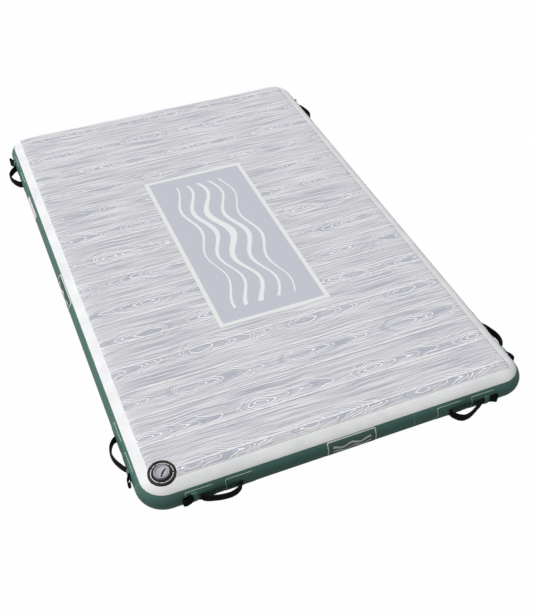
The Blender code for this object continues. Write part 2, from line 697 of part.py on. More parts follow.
def build_side_fittings():
    loop_shift = OUTER_PATCH_FROM_END - LOOP_FROM_END
    inner_patch = patch_mesh("inner_patch", [(0, HANDLE_TAB)])
    grip = handle_mesh()
    handle_out = SIDE_RISE + FIT + KNUCKLE_RADIUS
    loop_out = SIDE_RISE + FIT + LOOP_ROOT
    handle_from_end = (OUTER_PATCH_FROM_END + INNER_PATCH_FROM_END) / 2
    loops = {direction: loop_mesh("tow_loop", direction) for direction in (-1, 1)}
    outer_patches = {}
    for direction in (-1, 1):
        tabs = [(0, HANDLE_TAB), (direction * loop_shift, LOOP_TAB)]
        outer_patches[direction] = patch_mesh("outer_patch", tabs)
    for side, (_, half, _, ends) in SIDES.items():
        for direction, end in zip((-1, 1), ends):
            base = f"{side}_side_{end}_"
            place_on_side(side, base + "outer_patch", outer_patches[direction], "green_sheet",
                          direction * (half - OUTER_PATCH_FROM_END), 0)
            place_on_side(side, base + "inner_patch", inner_patch, "green_sheet",
                          direction * (half - INNER_PATCH_FROM_END), 0)
            place_on_side(side, base + "handle", grip, "webbing", direction * (half - handle_from_end),
                          handle_out, smooth=SMOOTH_WEBBING)
            place_on_side(side, base + "tow_loop", loops[direction], "webbing",
                          direction * (half - LOOP_FROM_END), loop_out, smooth=SMOOTH_WEBBING)


def build_label(side, name, material, length, shift, edge):
    """Thin label glued on the wall. edge is the angle of its upper border from straight up."""
    angles = [edge] + [a for a in WALL_ANGLES if edge < a < math.pi - edge] + [math.pi - edge]
    mesh = wall_strip(name, angles, FIT, FIT + LABEL_SHEET, -length / 2, length / 2)
    place_on_side(side, name, mesh, material, shift, 0)


def build_labels():
    build_label("front", "front_label", "green_sheet", FRONT_LABEL_LENGTH, FRONT_LABEL_SHIFT, LABEL_ANGLE)
    build_label("left", "left_label", "green_sheet", LEFT_LABEL_LENGTH, LEFT_LABEL_SHIFT, LABEL_ANGLE)
    build_label("left", "left_blank_plate", "blank_plate", PLATE_LENGTH, PLATE_FROM_END - LENGTH / 2,
                PLATE_ANGLE)


def main():
    clear_scene()
    valve = valve_matrix()
    build_chamber(valve)
    build_tapes()
    build_core()
    build_deck_pad(valve)
    build_valve(valve)
    build_side_fittings()
    build_labels()


main()
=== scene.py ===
"""Looks of an inflatable dock platform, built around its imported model.

Metres, +Z up. X runs across the dock, Y along it, and the front end is at -Y.
Every mesh holds its rest place in its own points, so object coordinates are the dock's own frame.
"""

import json
import math

import bmesh
import bpy
import numpy as np
from mathutils import Matrix, Vector


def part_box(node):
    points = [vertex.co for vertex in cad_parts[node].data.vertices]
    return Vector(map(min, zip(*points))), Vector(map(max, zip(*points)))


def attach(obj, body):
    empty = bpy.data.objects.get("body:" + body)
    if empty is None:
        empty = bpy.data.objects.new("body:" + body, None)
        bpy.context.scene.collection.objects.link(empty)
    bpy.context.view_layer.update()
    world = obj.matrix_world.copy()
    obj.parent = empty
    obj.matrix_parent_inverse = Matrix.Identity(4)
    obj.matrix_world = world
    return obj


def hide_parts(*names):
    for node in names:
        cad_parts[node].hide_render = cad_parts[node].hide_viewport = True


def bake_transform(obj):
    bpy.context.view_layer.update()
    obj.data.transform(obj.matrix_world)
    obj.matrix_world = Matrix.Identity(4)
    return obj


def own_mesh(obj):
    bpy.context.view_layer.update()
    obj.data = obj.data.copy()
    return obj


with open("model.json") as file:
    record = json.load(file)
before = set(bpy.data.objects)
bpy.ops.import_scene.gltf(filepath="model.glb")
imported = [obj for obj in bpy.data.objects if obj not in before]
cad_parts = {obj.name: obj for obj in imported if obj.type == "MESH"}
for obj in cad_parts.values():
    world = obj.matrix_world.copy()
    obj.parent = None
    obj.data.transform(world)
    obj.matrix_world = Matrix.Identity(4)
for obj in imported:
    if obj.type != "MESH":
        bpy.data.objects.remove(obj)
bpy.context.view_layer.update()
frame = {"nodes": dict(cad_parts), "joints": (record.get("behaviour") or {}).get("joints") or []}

# Air chamber
HALF_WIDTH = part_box("side_wall")[1].x
HALF_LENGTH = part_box("side_wall")[1].y
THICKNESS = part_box("top_skin")[1].z
HALF_THICK = THICKNESS / 2
EDGE_BULGE = 0.110  # how far the rounded edge stands out beyond the flat deck
CORNER_RADIUS = 0.125  # in plan, at the widest line of the wall
SHEET = 0.0012
SEAM_ANGLE = math.radians(49.2)  # where wall and top sheet meet, from straight up
FIT = 0.0003
DECK_HALF_X = HALF_WIDTH - EDGE_BULGE  # flat part of the deck
DECK_HALF_Y = HALF_LENGTH - EDGE_BULGE
DECK_CORNER = CORNER_RADIUS - EDGE_BULGE
CORNER_STEPS = 24
EDGE_STEPS = 40  # facets from the flat deck round to the flat bottom
WALL_STEPS = 24
LAP_ANGLE = math.radians(2.6)  # how far the top sheet laps over the wall
LAP_START = math.radians(30)  # where the top sheet starts to rise for the lap
LAP_SPAN = math.radians(18)
LAP_RISE = 0.0009
LAP_FIT = 0.0001

# Deck pad
PAD_FOAM = 0.004
PAD_CORNER = 0.008
PAD_BEVEL = 0.0090
PAD_EDGE_STEP = 0.06  # share of the foam's height that its edge stands straight up
PAD_EDGE_EASE = 0.45  # share of its rounding that starts gently
PAD_EDGE_PLACES = [0.0, 0.0003, 0.0008, 0.0016, 0.0028, 0.0043, 0.0062, PAD_BEVEL,
                   0.013, 0.019, 0.025, 0.031, 0.037, 0.042, 0.055]  # rows of points in from its edge
PAD_WELL = 0.0012  # ring of bare sheet round the valve surround
PAD_LEFT_MORE = 0.008  # how far it reaches beyond the plain solid on the left
PAD_FRONT_LESS = 0.0055  # how far it stays back at the front
PLANK_START = -1.3132
PLANK_PITCH = 0.15415
GROOVE_WIDTH = 0.0040
GROOVE_DEPTH = 0.0009
GROOVE_PLACES = (-1.25, -1, -0.7, -0.35, 0, 0.35, 0.7, 1, 1.25)  # rows of points across it, in half widths
PANEL_HALF_X = 0.2878
PANEL_HALF_Y = 0.6268
PANEL_BORDER = 0.022

# Side fittings
PATCH_CORNER = 0.007
PATCH_THICK = 0.0010
LABEL_CORNER = 0.005
LABEL_THICK = 0.0006
SHEET_EDGE_STEP = 0.2  # share of a sheet's thickness that its edge stands straight up
SHEET_END_PLACES = [0.0, 0.0003, 0.0008, 0.0016, 0.003, 0.006]  # rows of points in from a sheet's end
RIM_SHADE = 0.0016  # painted shade: by how much less the pale edge shows on the lower and the trailing side, as if these lay in shade
COVER_LENGTH = 0.026  # strip welded over a tow loop's sewn ends
COVER_WIDTH = 0.046
COVER_SHEET = 0.0006
COVER_RISE = 0.0014  # from the wall to its underside, just above the patch
COVER_CORNER = 0.003
COVER_EDGE = 0.0045  # over how much its edge slopes down
COVER_FAINT = 0.0030  # by how much less its pale edge shows
WALL_LAP_PLACE = 0.330  # where the wall's ends lap, along the front and the rear
WALL_LAP_LENGTH = 0.030
WALL_LAP_CORNER = 0.0005
WALL_LAP_THICK = 0.0004
WALL_LAP_FAINT = 0.0011
STRAP_STEPS = 22  # from one edge of a strap to the other
HANDLE_TAB_WIDTH = 0.042
HANDLE_TAB_THICK = 0.0024
GRIP_WIDTH = 0.037
GRIP_THICK = 0.0095
LOOP_WIDTH = 0.042
LOOP_THICK = 0.0022
LOOP_SEWN_DEPTH = 0.0014  # from its hinge in to the middle of its sewn webbing
LOOP_BEND = (-0.004, 0.010)  # beyond its hinge, given as the ends of a bend that is not made
LOOP_FREE = 0.030  # how far beyond its hinge it stops to follow the wall's bend
STRAP_FLATNESS = 9
GRIP_ROUNDER = 5.6  # how much less flat the padded grip is
THREAD_RADIUS = 0.00042
STITCH_SHAPE = [(0, -0.0004, 0.7), (0.08, 0.0001, 0.95), (0.5, 0.00032, 1.0), (0.92, 0.0001, 0.95),
                (1, -0.0004, 0.7)]  # share of a stitch's length, rise and share of the thread's radius
STITCH_SIDES = 6
TACK_COLUMN = 0.0030  # width of a column of stitches
TACK_HEIGHT = 0.037
TACK_PITCH = 0.0010

# Valve
SURROUND_RADIUS = 0.0602
SURROUND_SHEET = 0.0015
BOSS_RADIUS = 0.0395
FLANGE_RADIUS = 0.0342
FLANGE_PLATE = 0.0025
TUBE_RADIUS = 0.0205
TUBE_WALL = 0.0035
TUBE_DEPTH = 0.034
STEM_BORE = 0.0022  # hub that guides the poppet's stem, on three spokes
HUB_RADIUS = 0.0052
HUB_LOW = -0.020
HUB_HIGH = -0.0165
SPOKE_NEAR = 0.0037
SPOKE_FAR = 0.0188
SPOKE_WIDTH = 0.0028
CAP_RADIUS = 0.0328
CAP_HEIGHT = 0.0078
CAP_CHAMFER = 0.0016
CAP_DISH_RADIUS = 0.0256
CAP_DISH_DEPTH = 0.0058
CAP_SKIRT_RADIUS = 0.0148
CAP_SKIRT_WALL = 0.002
CAP_SKIRT_DEPTH = 0.0078
CAP_SLOT_OFFSET = 0.0128
CAP_SLOT_BOW = 0.0014
CAP_SLOT_WIDTH = 0.0102
CAP_SLOT_MORE = 1.14  # how much further the slot reaches at its front end
CAP_SLOT_LIP = 0.0002  # between the slot and the raised land
CAP_SLOT_TAPER = 0.35  # share of its width that the slot loses towards its ends
CAP_WEB = 0.0007  # left below the slot
CAP_SLOT_STEPS = 20
CAP_SLOT_END = 0.97  # share of the land's half length that the slot reaches
CAP_LAND_FOOT = 0.0005  # how far the land goes into the dish's floor
CAP_LAND_SUNK = 0.0012  # how far it stays below the cap's top
# A black block down in the cap's slot is painted shade: it darkens the slot's depths.
CAP_SLOT_SHADE_END = 0.95
CAP_SLOT_SHADE_FIT = 0.0002
CAP_SLOT_SHADE_SUNK = 0.0006  # how far the black block of painted shade in the slot stays below the dish's floor
CAP_RIM_PROFILE = [(0.0296, 0.0), (0.0284, -0.0008)]  # radius, and rise from the cap's top
CAP_DISH_PROFILE = [(CAP_DISH_RADIUS, 0.0020), (0.0236, 0.0006), (0.0212, 0.0), (0.0, 0.0)]  # from its floor
CAP_TURN = 47  # degrees from X to the slot
ROUND_STEPS = 96
# The surround's profile and that of its marks: radius and rise.
SURROUND_PROFILE = [
    (TUBE_RADIUS + FIT, 0.0), (BOSS_RADIUS - 0.002, 0.0), (BOSS_RADIUS, 0.0), (BOSS_RADIUS + 0.0015, 0.0012),
    (BOSS_RADIUS + 0.003, SURROUND_SHEET), (0.0435, SURROUND_SHEET), (0.0515, SURROUND_SHEET),
    (0.0524, SURROUND_SHEET + 0.0003), (0.0536, SURROUND_SHEET + 0.0008), (0.0560, SURROUND_SHEET + 0.0010),
    (0.0582, SURROUND_SHEET + 0.0007), (0.0595, SURROUND_SHEET - 0.0001), (SURROUND_RADIUS, 0.0006),
]
MARK_PROFILE = [(0.0452, SURROUND_SHEET + 0.0001), (0.0455, SURROUND_SHEET + 0.0004),
                (0.0479, SURROUND_SHEET + 0.0004), (0.0482, SURROUND_SHEET + 0.0001)]
MARK_GAPS = [-15, 29, 106, 134, 238]  # degrees from X to the middle of each gap between marks
MARK_GAP = 6.4  # degrees, the width of each gap


def srgb(red, green, blue):
    """Linear colour from the 0 to 255 values of a picture."""
    return tuple((c / 255 / 12.92) if c < 10.3 else ((c / 255 + 0.055) / 1.055) ** 2.4
                 for c in (red, green, blue))


def valve_matrix():
    """The valve's own frame: its seat's middle at zero and its axis up."""
    joint = next(j for j in frame["joints"] if j["name"] == "cap_twist")
    lean = Vector((0, 0, 1)).rotation_difference(Vector(joint["axis"])).to_matrix().to_4x4()
    return Matrix.Translation(joint["pos_m"]) @ lean


VALVE = valve_matrix()


# Print of the deck: rows of figures, their lines and their colours
FIGURE_START = -1.3256  # middle of the first row
FIGURE_ROW_PITCH = 0.2012
FIGURE_PITCH = 0.533  # from one figure to the next along a row
FIGURE_RINGS = 8.0
RINGS_PER_METRE = 105.0
FIGURE_ROUND = 0.008
LEG_LINE = 0.0017  # half width of a line along a figure's side
TIP_LINE = 0.0060  # half width of a line at a figure's tip
WIDEST_LINE = 0.34  # half width as a share of a ring, at most
FIGURE_DEPTH_SHARES = [(0.0, 1.0), (0.10, 0.50), (0.21, 0.08), (0.28, 0.0),
                       (0.46, 0.22), (0.68, 0.52), (0.87, 0.84), (1.0, 1.0)]
STREAK_DARK = srgb(173, 174, 185)
STREAK_PALE = srgb(223, 222, 225)
STREAK_CLOUD = srgb(212, 211, 213)
FIGURE_FILL = srgb(171, 174, 188)
FIGURE_DARK = srgb(161, 163, 176)
FIGURE_PALE = srgb(242, 242, 243)
PLANK_HAIR = srgb(164, 165, 176)
PLANK_GAP = srgb(236, 236, 237)
BARE_FOAM = srgb(238, 238, 239)
# Panel on the deck. A wave is its place across the panel, its half width, its swing and its phase.
PANEL_RIM = srgb(228, 229, 229)
PANEL_DARK = srgb(188, 191, 200)
PANEL_PALE = srgb(196, 199, 207)
WAVE_COLOUR = srgb(231, 232, 233)
WAVE_REACH = 0.520
WAVE_LENGTH = 0.40
WAVES = [
    (-0.150, 0.0060, 0.024, 0.0),
    (-0.085, 0.0100, 0.030, 0.5),
    (-0.010, 0.0150, 0.034, 1.0),
    (0.070, 0.0100, 0.030, 1.5),
    (0.140, 0.0060, 0.024, 2.0),
]
# Labels. A wave is its height on the label, its half width and its phase.
LABEL_DARK = srgb(34, 70, 60)
LABEL_GREEN = srgb(42, 82, 70)
LABEL_FRAME = srgb(218, 224, 220)
LABEL_WAVE_COLOUR = srgb(206, 214, 210)
LABEL_WAVE_LENGTH = 0.085
LABEL_WAVES = [(-0.022, 0.0024, 0.0), (-0.006, 0.0036, 0.9), (0.014, 0.0052, 1.8)]
# Weaves, in metres from one thread to the next
COAT_WEAVE = 0.0011
PALE_RIM = 0.0024  # width of a sheet's pale cut edge
WEBBING_RIB = 0.0017
WEBBING_PICK = 0.0024
THREAD_TWIST = 0.0009


# Materials


def math_node(name, swapped=False):
    """Method that writes an operator between a value and another value or number as a Math node."""
    def method(self, other):
        return self.graph.math(name, *((other, self) if swapped else (self, other)))
    return method


class Value:
    """Output of a node. Plain arithmetic on it adds Math nodes to its graph."""

    def __init__(self, graph, socket):
        self.graph = graph
        self.socket = socket

    __add__, __radd__ = math_node("ADD"), math_node("ADD", True)
    __sub__, __rsub__ = math_node("SUBTRACT"), math_node("SUBTRACT", True)
    __mul__, __rmul__ = math_node("MULTIPLY"), math_node("MULTIPLY", True)
    __truediv__, __mod__, __pow__ = math_node("DIVIDE"), math_node("MODULO"), math_node("POWER")

    def __abs__(self):
        return self.graph.math("ABSOLUTE", self)


class Graph:
    """Short way to write a node tree. Sources are numbers, colours or values."""

    def __init__(self, owner):
        owner.use_nodes = True
        self.tree = owner.node_tree

    def feed(self, socket, source):
        if isinstance(source, Value):
            self.tree.links.new(source.socket, socket)
        elif hasattr(source, "__len__") and len(source) == 3 and len(socket.default_value) == 4:
            socket.default_value = (*source, 1)
        else:
            socket.default_value = source

    def node(self, kind, sources=(), output=0, **settings):
        node = self.tree.nodes.new("ShaderNode" + kind)
        for key, setting in settings.items():
            setattr(node, key, setting)
        for key, source in dict(sources).items():
            self.feed(node.inputs[key], source)
        return Value(self, node.outputs[output])

    def math(self, kind, *sources):
        return self.node("Math", enumerate(sources), operation=kind)

    def sine(self, value, length, phase=0.0):
        """Wave along a value in metres, with its length in metres."""
        turns = value * (2 * math.pi / length)
        return self.math("SINE", turns + phase if phase else turns)

    def fade(self, value, start, end):
        """0 before start, 1 after end, smooth between them."""
        sources = {"Value": value, "From Min": start, "From Max": end}
        return self.node("MapRange", sources, interpolation_type="SMOOTHSTEP")

    def mix(self, factor, a, b):
        return self.node("Mix", {0: factor, 6: a, 7: b}, 2, data_type="RGBA")

    def place(self):
        """The point's x, y and z in the dock's frame."""
        split = self.node("SeparateXYZ", {0: self.node("TexCoord", output="Object")})
        return [Value(self, socket) for socket in split.socket.node.outputs]

    def point(self, x, y, z=0.0):
        return self.node("CombineXYZ", {0: x, 1: y, 2: z})

    def stored(self, name):
        """A number stored on the mesh's points."""
        return self.node("Attribute", output="Fac", attribute_name=name)

    def noise(self, vector, scale=1.0, detail=2.0, roughness=0.5):
        """Noise from 0 to 1, with scale cells to one unit of the vector."""
        sources = {"Vector": vector, "Scale": scale, "Detail": detail, "Roughness": roughness}
        return self.node("TexNoise", sources)

    def random(self, vector):
        return self.node("TexWhiteNoise", {"Vector": vector}, "Value", noise_dimensions="3D")

    def curve(self, value, knots):
        """Smooth curve through knots, each a place from 0 to 1 and a height."""
        result = self.node("ValToRGB", {0: value})
        ramp = result.socket.node.color_ramp
        ramp.interpolation = "EASE"
        while len(ramp.elements) < len(knots):
            ramp.elements.new(0.5)
        for element, (position, height) in zip(ramp.elements, knots):
            element.position = position
            element.color = (height, height, height, 1)
        return result


class Surface(Graph):
    """Graph of a material's own shader, with what is the same all over set on its sockets."""

    def __init__(self, name, **sockets):
        self.material = bpy.data.materials.new(name)
        super().__init__(self.material)
        self.shader = self.tree.nodes["Principled BSDF"]
        for key, number in sockets.items():
            self.shader.inputs[key.replace("_", " ")].default_value = number

    def finished(self, colour, roughness, height=None, depth=0.0):
        """The material. Height runs from 0 to 1, where 1 stands for the depth in metres."""
        self.feed(self.shader.inputs["Base Color"], colour)
        self.feed(self.shader.inputs["Roughness"], roughness)
        if height is not None:
            bump = self.node("Bump", {"Height": height, "Distance": depth, "Strength": 1.0})
            self.feed(self.shader.inputs["Normal"], bump)
        return self.material


def tinted(colour, share):
    """Colour made darker or lighter."""
    return tuple(min(1, c * share) for c in colour)


def coated_fabric(name, colour, edge_colour, rough, shine):
    """Satin coated fabric: a fine cross weave under the coating, slight mottling, a pale cut edge, which the
    wall sheets dim on their lower and trailing side as painted shade.
    """
    g = Surface(name, Specular_IOR_Level=shine)
    x, y, z = g.place()
    at = g.point(x, y, z)
    weave = g.sine(x + y, COAT_WEAVE) * g.sine(x - y + z, COAT_WEAVE) + 1.0
    cloud = g.fade(g.noise(at, 7.0, 3.0), 0.3, 0.7)
    # the pale edge is the cut edge's own colour; on wall sheets the stored rim also carries painted shade,
    # which thins it on the lower and trailing side
    edge = 1.0 - g.fade(g.stored("rim"), PALE_RIM / 2, PALE_RIM)
    colour = g.mix(edge, g.mix(cloud, tinted(colour, 0.94), tinted(colour, 1.05)), edge_colour)
    rough = rough - 0.06 + g.noise(at, 24.0, 4.0) * 0.12
    return g.finished(colour, rough, weave * 0.35 + g.noise(at, 900.0) * 0.5, 0.00004)


def plank_print():
    """Foam deck with a printed grain: planks along X, and rows of figures along them.

    A figure is a chain of nested pointed rings.
    """
    g = Surface("deck_foam_print", Specular_IOR_Level=0.25)
    x, y, z = g.place()
    planks = (y - PLANK_START) / PLANK_PITCH
    across = planks - g.math("FLOOR", planks) - 0.5
    rows = (y - FIGURE_START) / FIGURE_ROW_PITCH
    row = g.math("FLOOR", rows + 0.5)
    seed = g.random(g.point(row, 3.7))
    seed_two = g.random(g.point(row, 11.3))
    # the print repeats every seven rows, and in the last three of them the tips point the other way
    leftward = g.math("GREATER_THAN", (row + 7.0) % 7.0, 3.5)
    facing = x * (1.0 - leftward * 2.0)
    # a row's middle line wanders a little
    slow = g.noise(g.point(x * 2.1 + seed * 40.0, row), detail=1.0) - 0.5
    quick = g.noise(g.point(x * 9.0, y * 5.0, row), detail=1.0) - 0.5
    heart = (rows - row) * FIGURE_ROW_PITCH + slow * 0.040 + quick * 0.026
    away = g.math("SQRT", heart * heart + FIGURE_ROUND ** 2)
    # how many rings lie inside, along the chain: it falls at a figure's blunt end and rises to its tips
    drift = g.noise(g.point(x * 7.0, y * 16.0, row), detail=1.0) - 0.5
    chain = g.math("FRACT", (facing + drift * 0.060) / FIGURE_PITCH + seed)
    blunt = 1.0 - g.fade(chain, 0.90, 1.0) * 0.8
    open_end = g.math("MINIMUM", g.fade(chain, 0.02, 0.15), blunt)
    depth = g.curve(chain, FIGURE_DEPTH_SHARES) * (FIGURE_RINGS + seed_two * 2.0)
    wisp = (g.noise(g.point(x * 5.0, y * 40.0, row)) - 0.5) * 0.6
    rings = away * RINGS_PER_METRE + depth + wisp
    ring = g.math("FLOOR", rings)
    inside = rings - ring - 0.5
    chance = g.random(g.point(ring, row))
    other_chance = g.random(g.point(row, ring, 5.0))
    near = (1.0 - g.fade(away, 0.024, 0.058)) * open_end
    # lines keep their width in metres, so their share of a ring grows with how tightly the rings lie
    leg = heart / away * (RINGS_PER_METRE * LEG_LINE)
    steep = g.math("SQRT", leg * leg + (FIGURE_RINGS / FIGURE_PITCH * TIP_LINE) ** 2)
    width = g.math("MINIMUM", steep * (0.60 + chance * 0.95), WIDEST_LINE)
    line = 1.0 - g.fade(abs(inside) / width, 0.50, 1.15)
    dark = 1.0 - g.fade(abs(inside + width * 1.7) / width, 0.3, 1.1)
    broken = g.fade(g.noise(g.point(x * 6.0, ring * 3.1, row)), 0.36, 0.60)
    drawn = g.fade(chance, 0.26, 0.42)
    faint = broken * (1.0 - g.fade(away, 0.060, 0.092)) * 0.45
    # fine streaks along the plank between the figures
    bent = y + (g.noise(g.point(x * 5.0, y * 4.0, 1.0), detail=1.0) - 0.5) * 0.030
    streak = g.noise(g.point(x * 2.6, bent * 185.0), detail=3.0)
    streak_two = g.noise(g.point(x * 3.4, bent * 95.0, 7.0), detail=3.0)
    tone = g.fade(streak * 0.80 + streak_two * 0.20, 0.44, 0.56)
    cloud = g.fade(g.noise(g.point(x * 2.0, y * 9.0, 3.0)), 0.35, 0.65)
    printed = g.mix(tone, STREAK_DARK, STREAK_PALE)
    printed = g.mix(cloud * 0.25, printed, STREAK_CLOUD)
    # slate between the tips, along the row's middle
    fill = (1.0 - g.fade(away, 0.013, 0.024)) * (0.15 + other_chance * 0.70)
    printed = g.mix(fill * open_end, printed, FIGURE_FILL)
    printed = g.mix(dark * drawn * (faint * 0.6 + near * 0.65), printed, FIGURE_DARK)
    printed = g.mix(line * drawn * (near + faint * (1.0 - near)), printed, FIGURE_PALE)
    # line between planks, with a darker hairline on its near side
    from_line = (0.5 - abs(across)) * PLANK_PITCH
    short = PLANK_PITCH - (across + 0.5) * PLANK_PITCH
    hair = 1.0 - g.fade(abs(short - 0.0074), 0.0014, 0.0034)
    printed = g.mix(hair * 0.65, printed, PLANK_HAIR)
    printed = g.mix(1.0 - g.fade(from_line, 0.0028, 0.0046), printed, PLANK_GAP)
    # panel with a pale border and plain waves
    inset = g.math("MINIMUM", PANEL_HALF_X - abs(x), PANEL_HALF_Y - abs(y))
    printed = g.mix(g.fade(inset, 0.0, 0.0006), printed, PANEL_RIM)
    mottled = g.mix(g.noise(g.point(x, y, z), 60.0, 3.0), PANEL_DARK, PANEL_PALE)
    printed = g.mix(g.fade(inset, PANEL_BORDER, PANEL_BORDER + 0.0008), printed, mottled)
    reach = 1.0 - g.fade(abs(y), WAVE_REACH, WAVE_REACH + 0.004)
    for shift, width, swing, phase in WAVES:
        off = abs(x - (g.sine(y, WAVE_LENGTH, phase) * swing + shift))
        thick = width + g.sine(y, 2 * WAVE_LENGTH, phase) * (width * 0.35)
        band = (1.0 - g.fade(off - thick, -0.0006, 0.0006)) * reach
        printed = g.mix(band, printed, WAVE_COLOUR)
    # the foam's cut edge is bare
    well = VALVE.translation
    from_well = g.math("SQRT", (x - well.x) ** 2.0 + (y - well.y) ** 2.0) - SURROUND_RADIUS
    from_edge = g.math("MINIMUM", g.stored("rim"), from_well * 2.2)
    printed = g.mix(1.0 - g.fade(from_edge, 0.0046, 0.0054), printed, BARE_FOAM)
    pores = g.noise(g.point(x, y, z), 700.0, 3.0, 0.7)
    brushed = g.noise(g.point(x * 120.0, y * 1400.0))
    return g.finished(printed, 0.74 + pores * 0.14, pores * 0.6 + brushed * 0.4, 0.00018)


def webbing(name, colour):
    """Woven polyester: crosswise picks in lengthwise rows, coloured lighter on each pick's crown and darker
    between picks as painted shade, over random fuzz.
    """
    g = Surface(name, Specular_IOR_Level=0.08)
    across = g.stored("across") / WEBBING_RIB
    shift = g.math("FLOOR", across) % 2.0 * 0.5
    pick = g.math("FRACT", g.stored("run") / WEBBING_PICK + shift)
    pillow = g.math("SINE", pick * math.pi) * g.math("SINE", g.math("FRACT", across) * math.pi)
    fuzz = g.noise(g.point(*g.place()), 1300.0)
    # painted shade and highlight: the colour follows the picks' relief, lighter on their crowns and darker in
    # the hollows; the fuzz is random tone
    colour = g.mix(pillow * 0.6 + fuzz * 0.4, tinted(colour, 0.45), tinted(colour, 1.7))
    return g.finished(colour, 0.66 + fuzz * 0.2, pillow + fuzz * 0.25, 0.00045)


def moulded(name, colour, rough, grain=0.00006, shine=0.5):
    """Moulded plastic or rubber with a fine spark-eroded grain and handling marks."""
    g = Surface(name, Specular_IOR_Level=shine)
    at = g.point(*g.place())
    colour = g.mix(g.noise(at, 40.0, 4.0), tinted(colour, 0.90), tinted(colour, 1.10))
    rough = rough - 0.08 + g.noise(at, 160.0, 3.0) * 0.16
    return g.finished(colour, rough, g.noise(at, 420.0, 3.0, 0.7), grain)


def label_print(name, half_u, half_v):
    """Green label with a thin pale frame and plain waves. Its own u and v are stored on its points."""
    g = Surface(name, Specular_IOR_Level=0.5)
    u, v = g.stored("label_u"), g.stored("label_v")
    at = g.point(*g.place())
    cloud = g.noise(at, 30.0, 3.0)
    colour = g.mix(cloud, LABEL_DARK, LABEL_GREEN)
    inner = 1.0 - g.fade(abs(u), half_u - 0.026, half_u - 0.025)
    for shift, width, phase in LABEL_WAVES:
        wave = shift + g.sine(u, LABEL_WAVE_LENGTH, phase) * 0.0055
        stripe = 1.0 - g.fade(abs(v - wave) - width, -0.0003, 0.0003)
        colour = g.mix(stripe * inner, colour, LABEL_WAVE_COLOUR)
    inset = g.math("MINIMUM", half_u - abs(u), half_v - abs(v))
    colour = g.mix(1.0 - g.fade(inset, 0.0046, 0.0052), colour, LABEL_FRAME)
    return g.finished(colour, 0.34 + cloud * 0.08, g.noise(at, 800.0), 0.00003)


def brushed_steel(name, dark, pale):
    g = Surface(name, Metallic=1.0)
    x, y, z = g.place()
    fine = g.noise(g.point(x, y, z * 6.0), 900.0, 3.0)
    return g.finished(g.mix(fine, dark, pale), 0.22 + fine * 0.2)


def spun_thread(name, colour):
    """Twisted thread: slanting plies along the stitch, coloured lighter on their crowns and darker between
    them as painted shade.
    """
    g = Surface(name, Specular_IOR_Level=0.4)
    x, y, z = g.place()
    ply = g.sine(x + y + z * 1.3, THREAD_TWIST)
    # painted shade and highlight: the colour follows the plies' relief
    colour = g.mix(ply * 0.5 + 0.5, tinted(colour, 0.7), tinted(colour, 1.25))
    return g.finished(colour, 0.55 + ply * 0.08, ply, 0.0001)


GREEN = srgb(77, 112, 103)
WHITE = srgb(233, 234, 235)
MATERIALS = {
    "white_sheet": coated_fabric("white_coated_fabric", WHITE, WHITE, 0.46, 0.12),
    "green_sheet": coated_fabric("green_coated_fabric", GREEN, srgb(206, 220, 215), 0.40, 0.14),
    "grey_sheet": coated_fabric("grey_coated_fabric", srgb(165, 170, 172), srgb(190, 192, 194), 0.48, 0.4),
    "deck_foam": plank_print(),
    "webbing": webbing("black_webbing", srgb(17, 16, 18)),
    "red_thread": spun_thread("dark_red_thread", srgb(84, 24, 30)),
    "black_rubber": moulded("black_rubber_and_shade_moulding", srgb(17, 17, 18), 0.55, shine=0.16),
    "pale_mark": moulded("pale_raised_mark", srgb(216, 215, 210), 0.5),
    "grey_plastic": moulded("grey_plastic_moulding", srgb(168, 168, 176), 0.42, shine=0.4),
    "blank_plate": moulded("blank_plate_vinyl", srgb(224, 217, 214), 0.45, grain=0.00003),
    "thread": spun_thread("core_thread", srgb(219, 217, 207)),
    "steel": brushed_steel("spring_steel", srgb(168, 170, 174), srgb(205, 207, 210)),
}


# Mesh helpers


def linked(name, data):
    """New object in the scene."""
    obj = bpy.data.objects.new(name, data)
    bpy.context.collection.objects.link(obj)
    return obj


def evaluated(obj, *tools):
    """Mesh of an object after its modifiers. It and its tools leave the scene."""
    bpy.context.view_layer.update()
    result = bpy.data.meshes.new_from_object(obj.evaluated_get(bpy.context.evaluated_depsgraph_get()))
    for used in (obj, *tools):
        bpy.data.objects.remove(used, do_unlink=True)
    return result


def store(mesh, name, values):
    attribute = mesh.attributes.new(name, "FLOAT", "POINT")
    attribute.data.foreach_set("value", np.asarray(values, np.float32))


def made_mesh(name, points, faces, extras=()):
    """Mesh of points and faces. What follows a point's x, y and z is stored under the names in extras."""
    mesh = bpy.data.meshes.new(name)
    mesh.from_pydata([tuple(p[:3]) for p in points], [], [tuple(int(k) for k in face) for face in faces])
    work = bmesh.new()
    work.from_mesh(mesh)
    bmesh.ops.recalc_face_normals(work, faces=work.faces)
    work.to_mesh(mesh)
    work.free()
    for column, extra in enumerate(extras, 3):
        store(mesh, extra, [p[column] for p in points])
    return mesh


def ring_faces(first, second):
    """Quads between two closed rings of point numbers."""
    count = len(first)
    return [(first[i], first[(i + 1) % count], second[(i + 1) % count], second[i]) for i in range(count)]


def tube_faces(start, count, size):
    """Faces of a tube with closed ends: count rings of size points each, numbered from start."""
    rings = [range(start + size * k, start + size * (k + 1)) for k in range(count)]
    faces = [rings[0], rings[-1]]
    for ring, after in zip(rings, rings[1:]):
        faces += ring_faces(ring, after)
    return faces


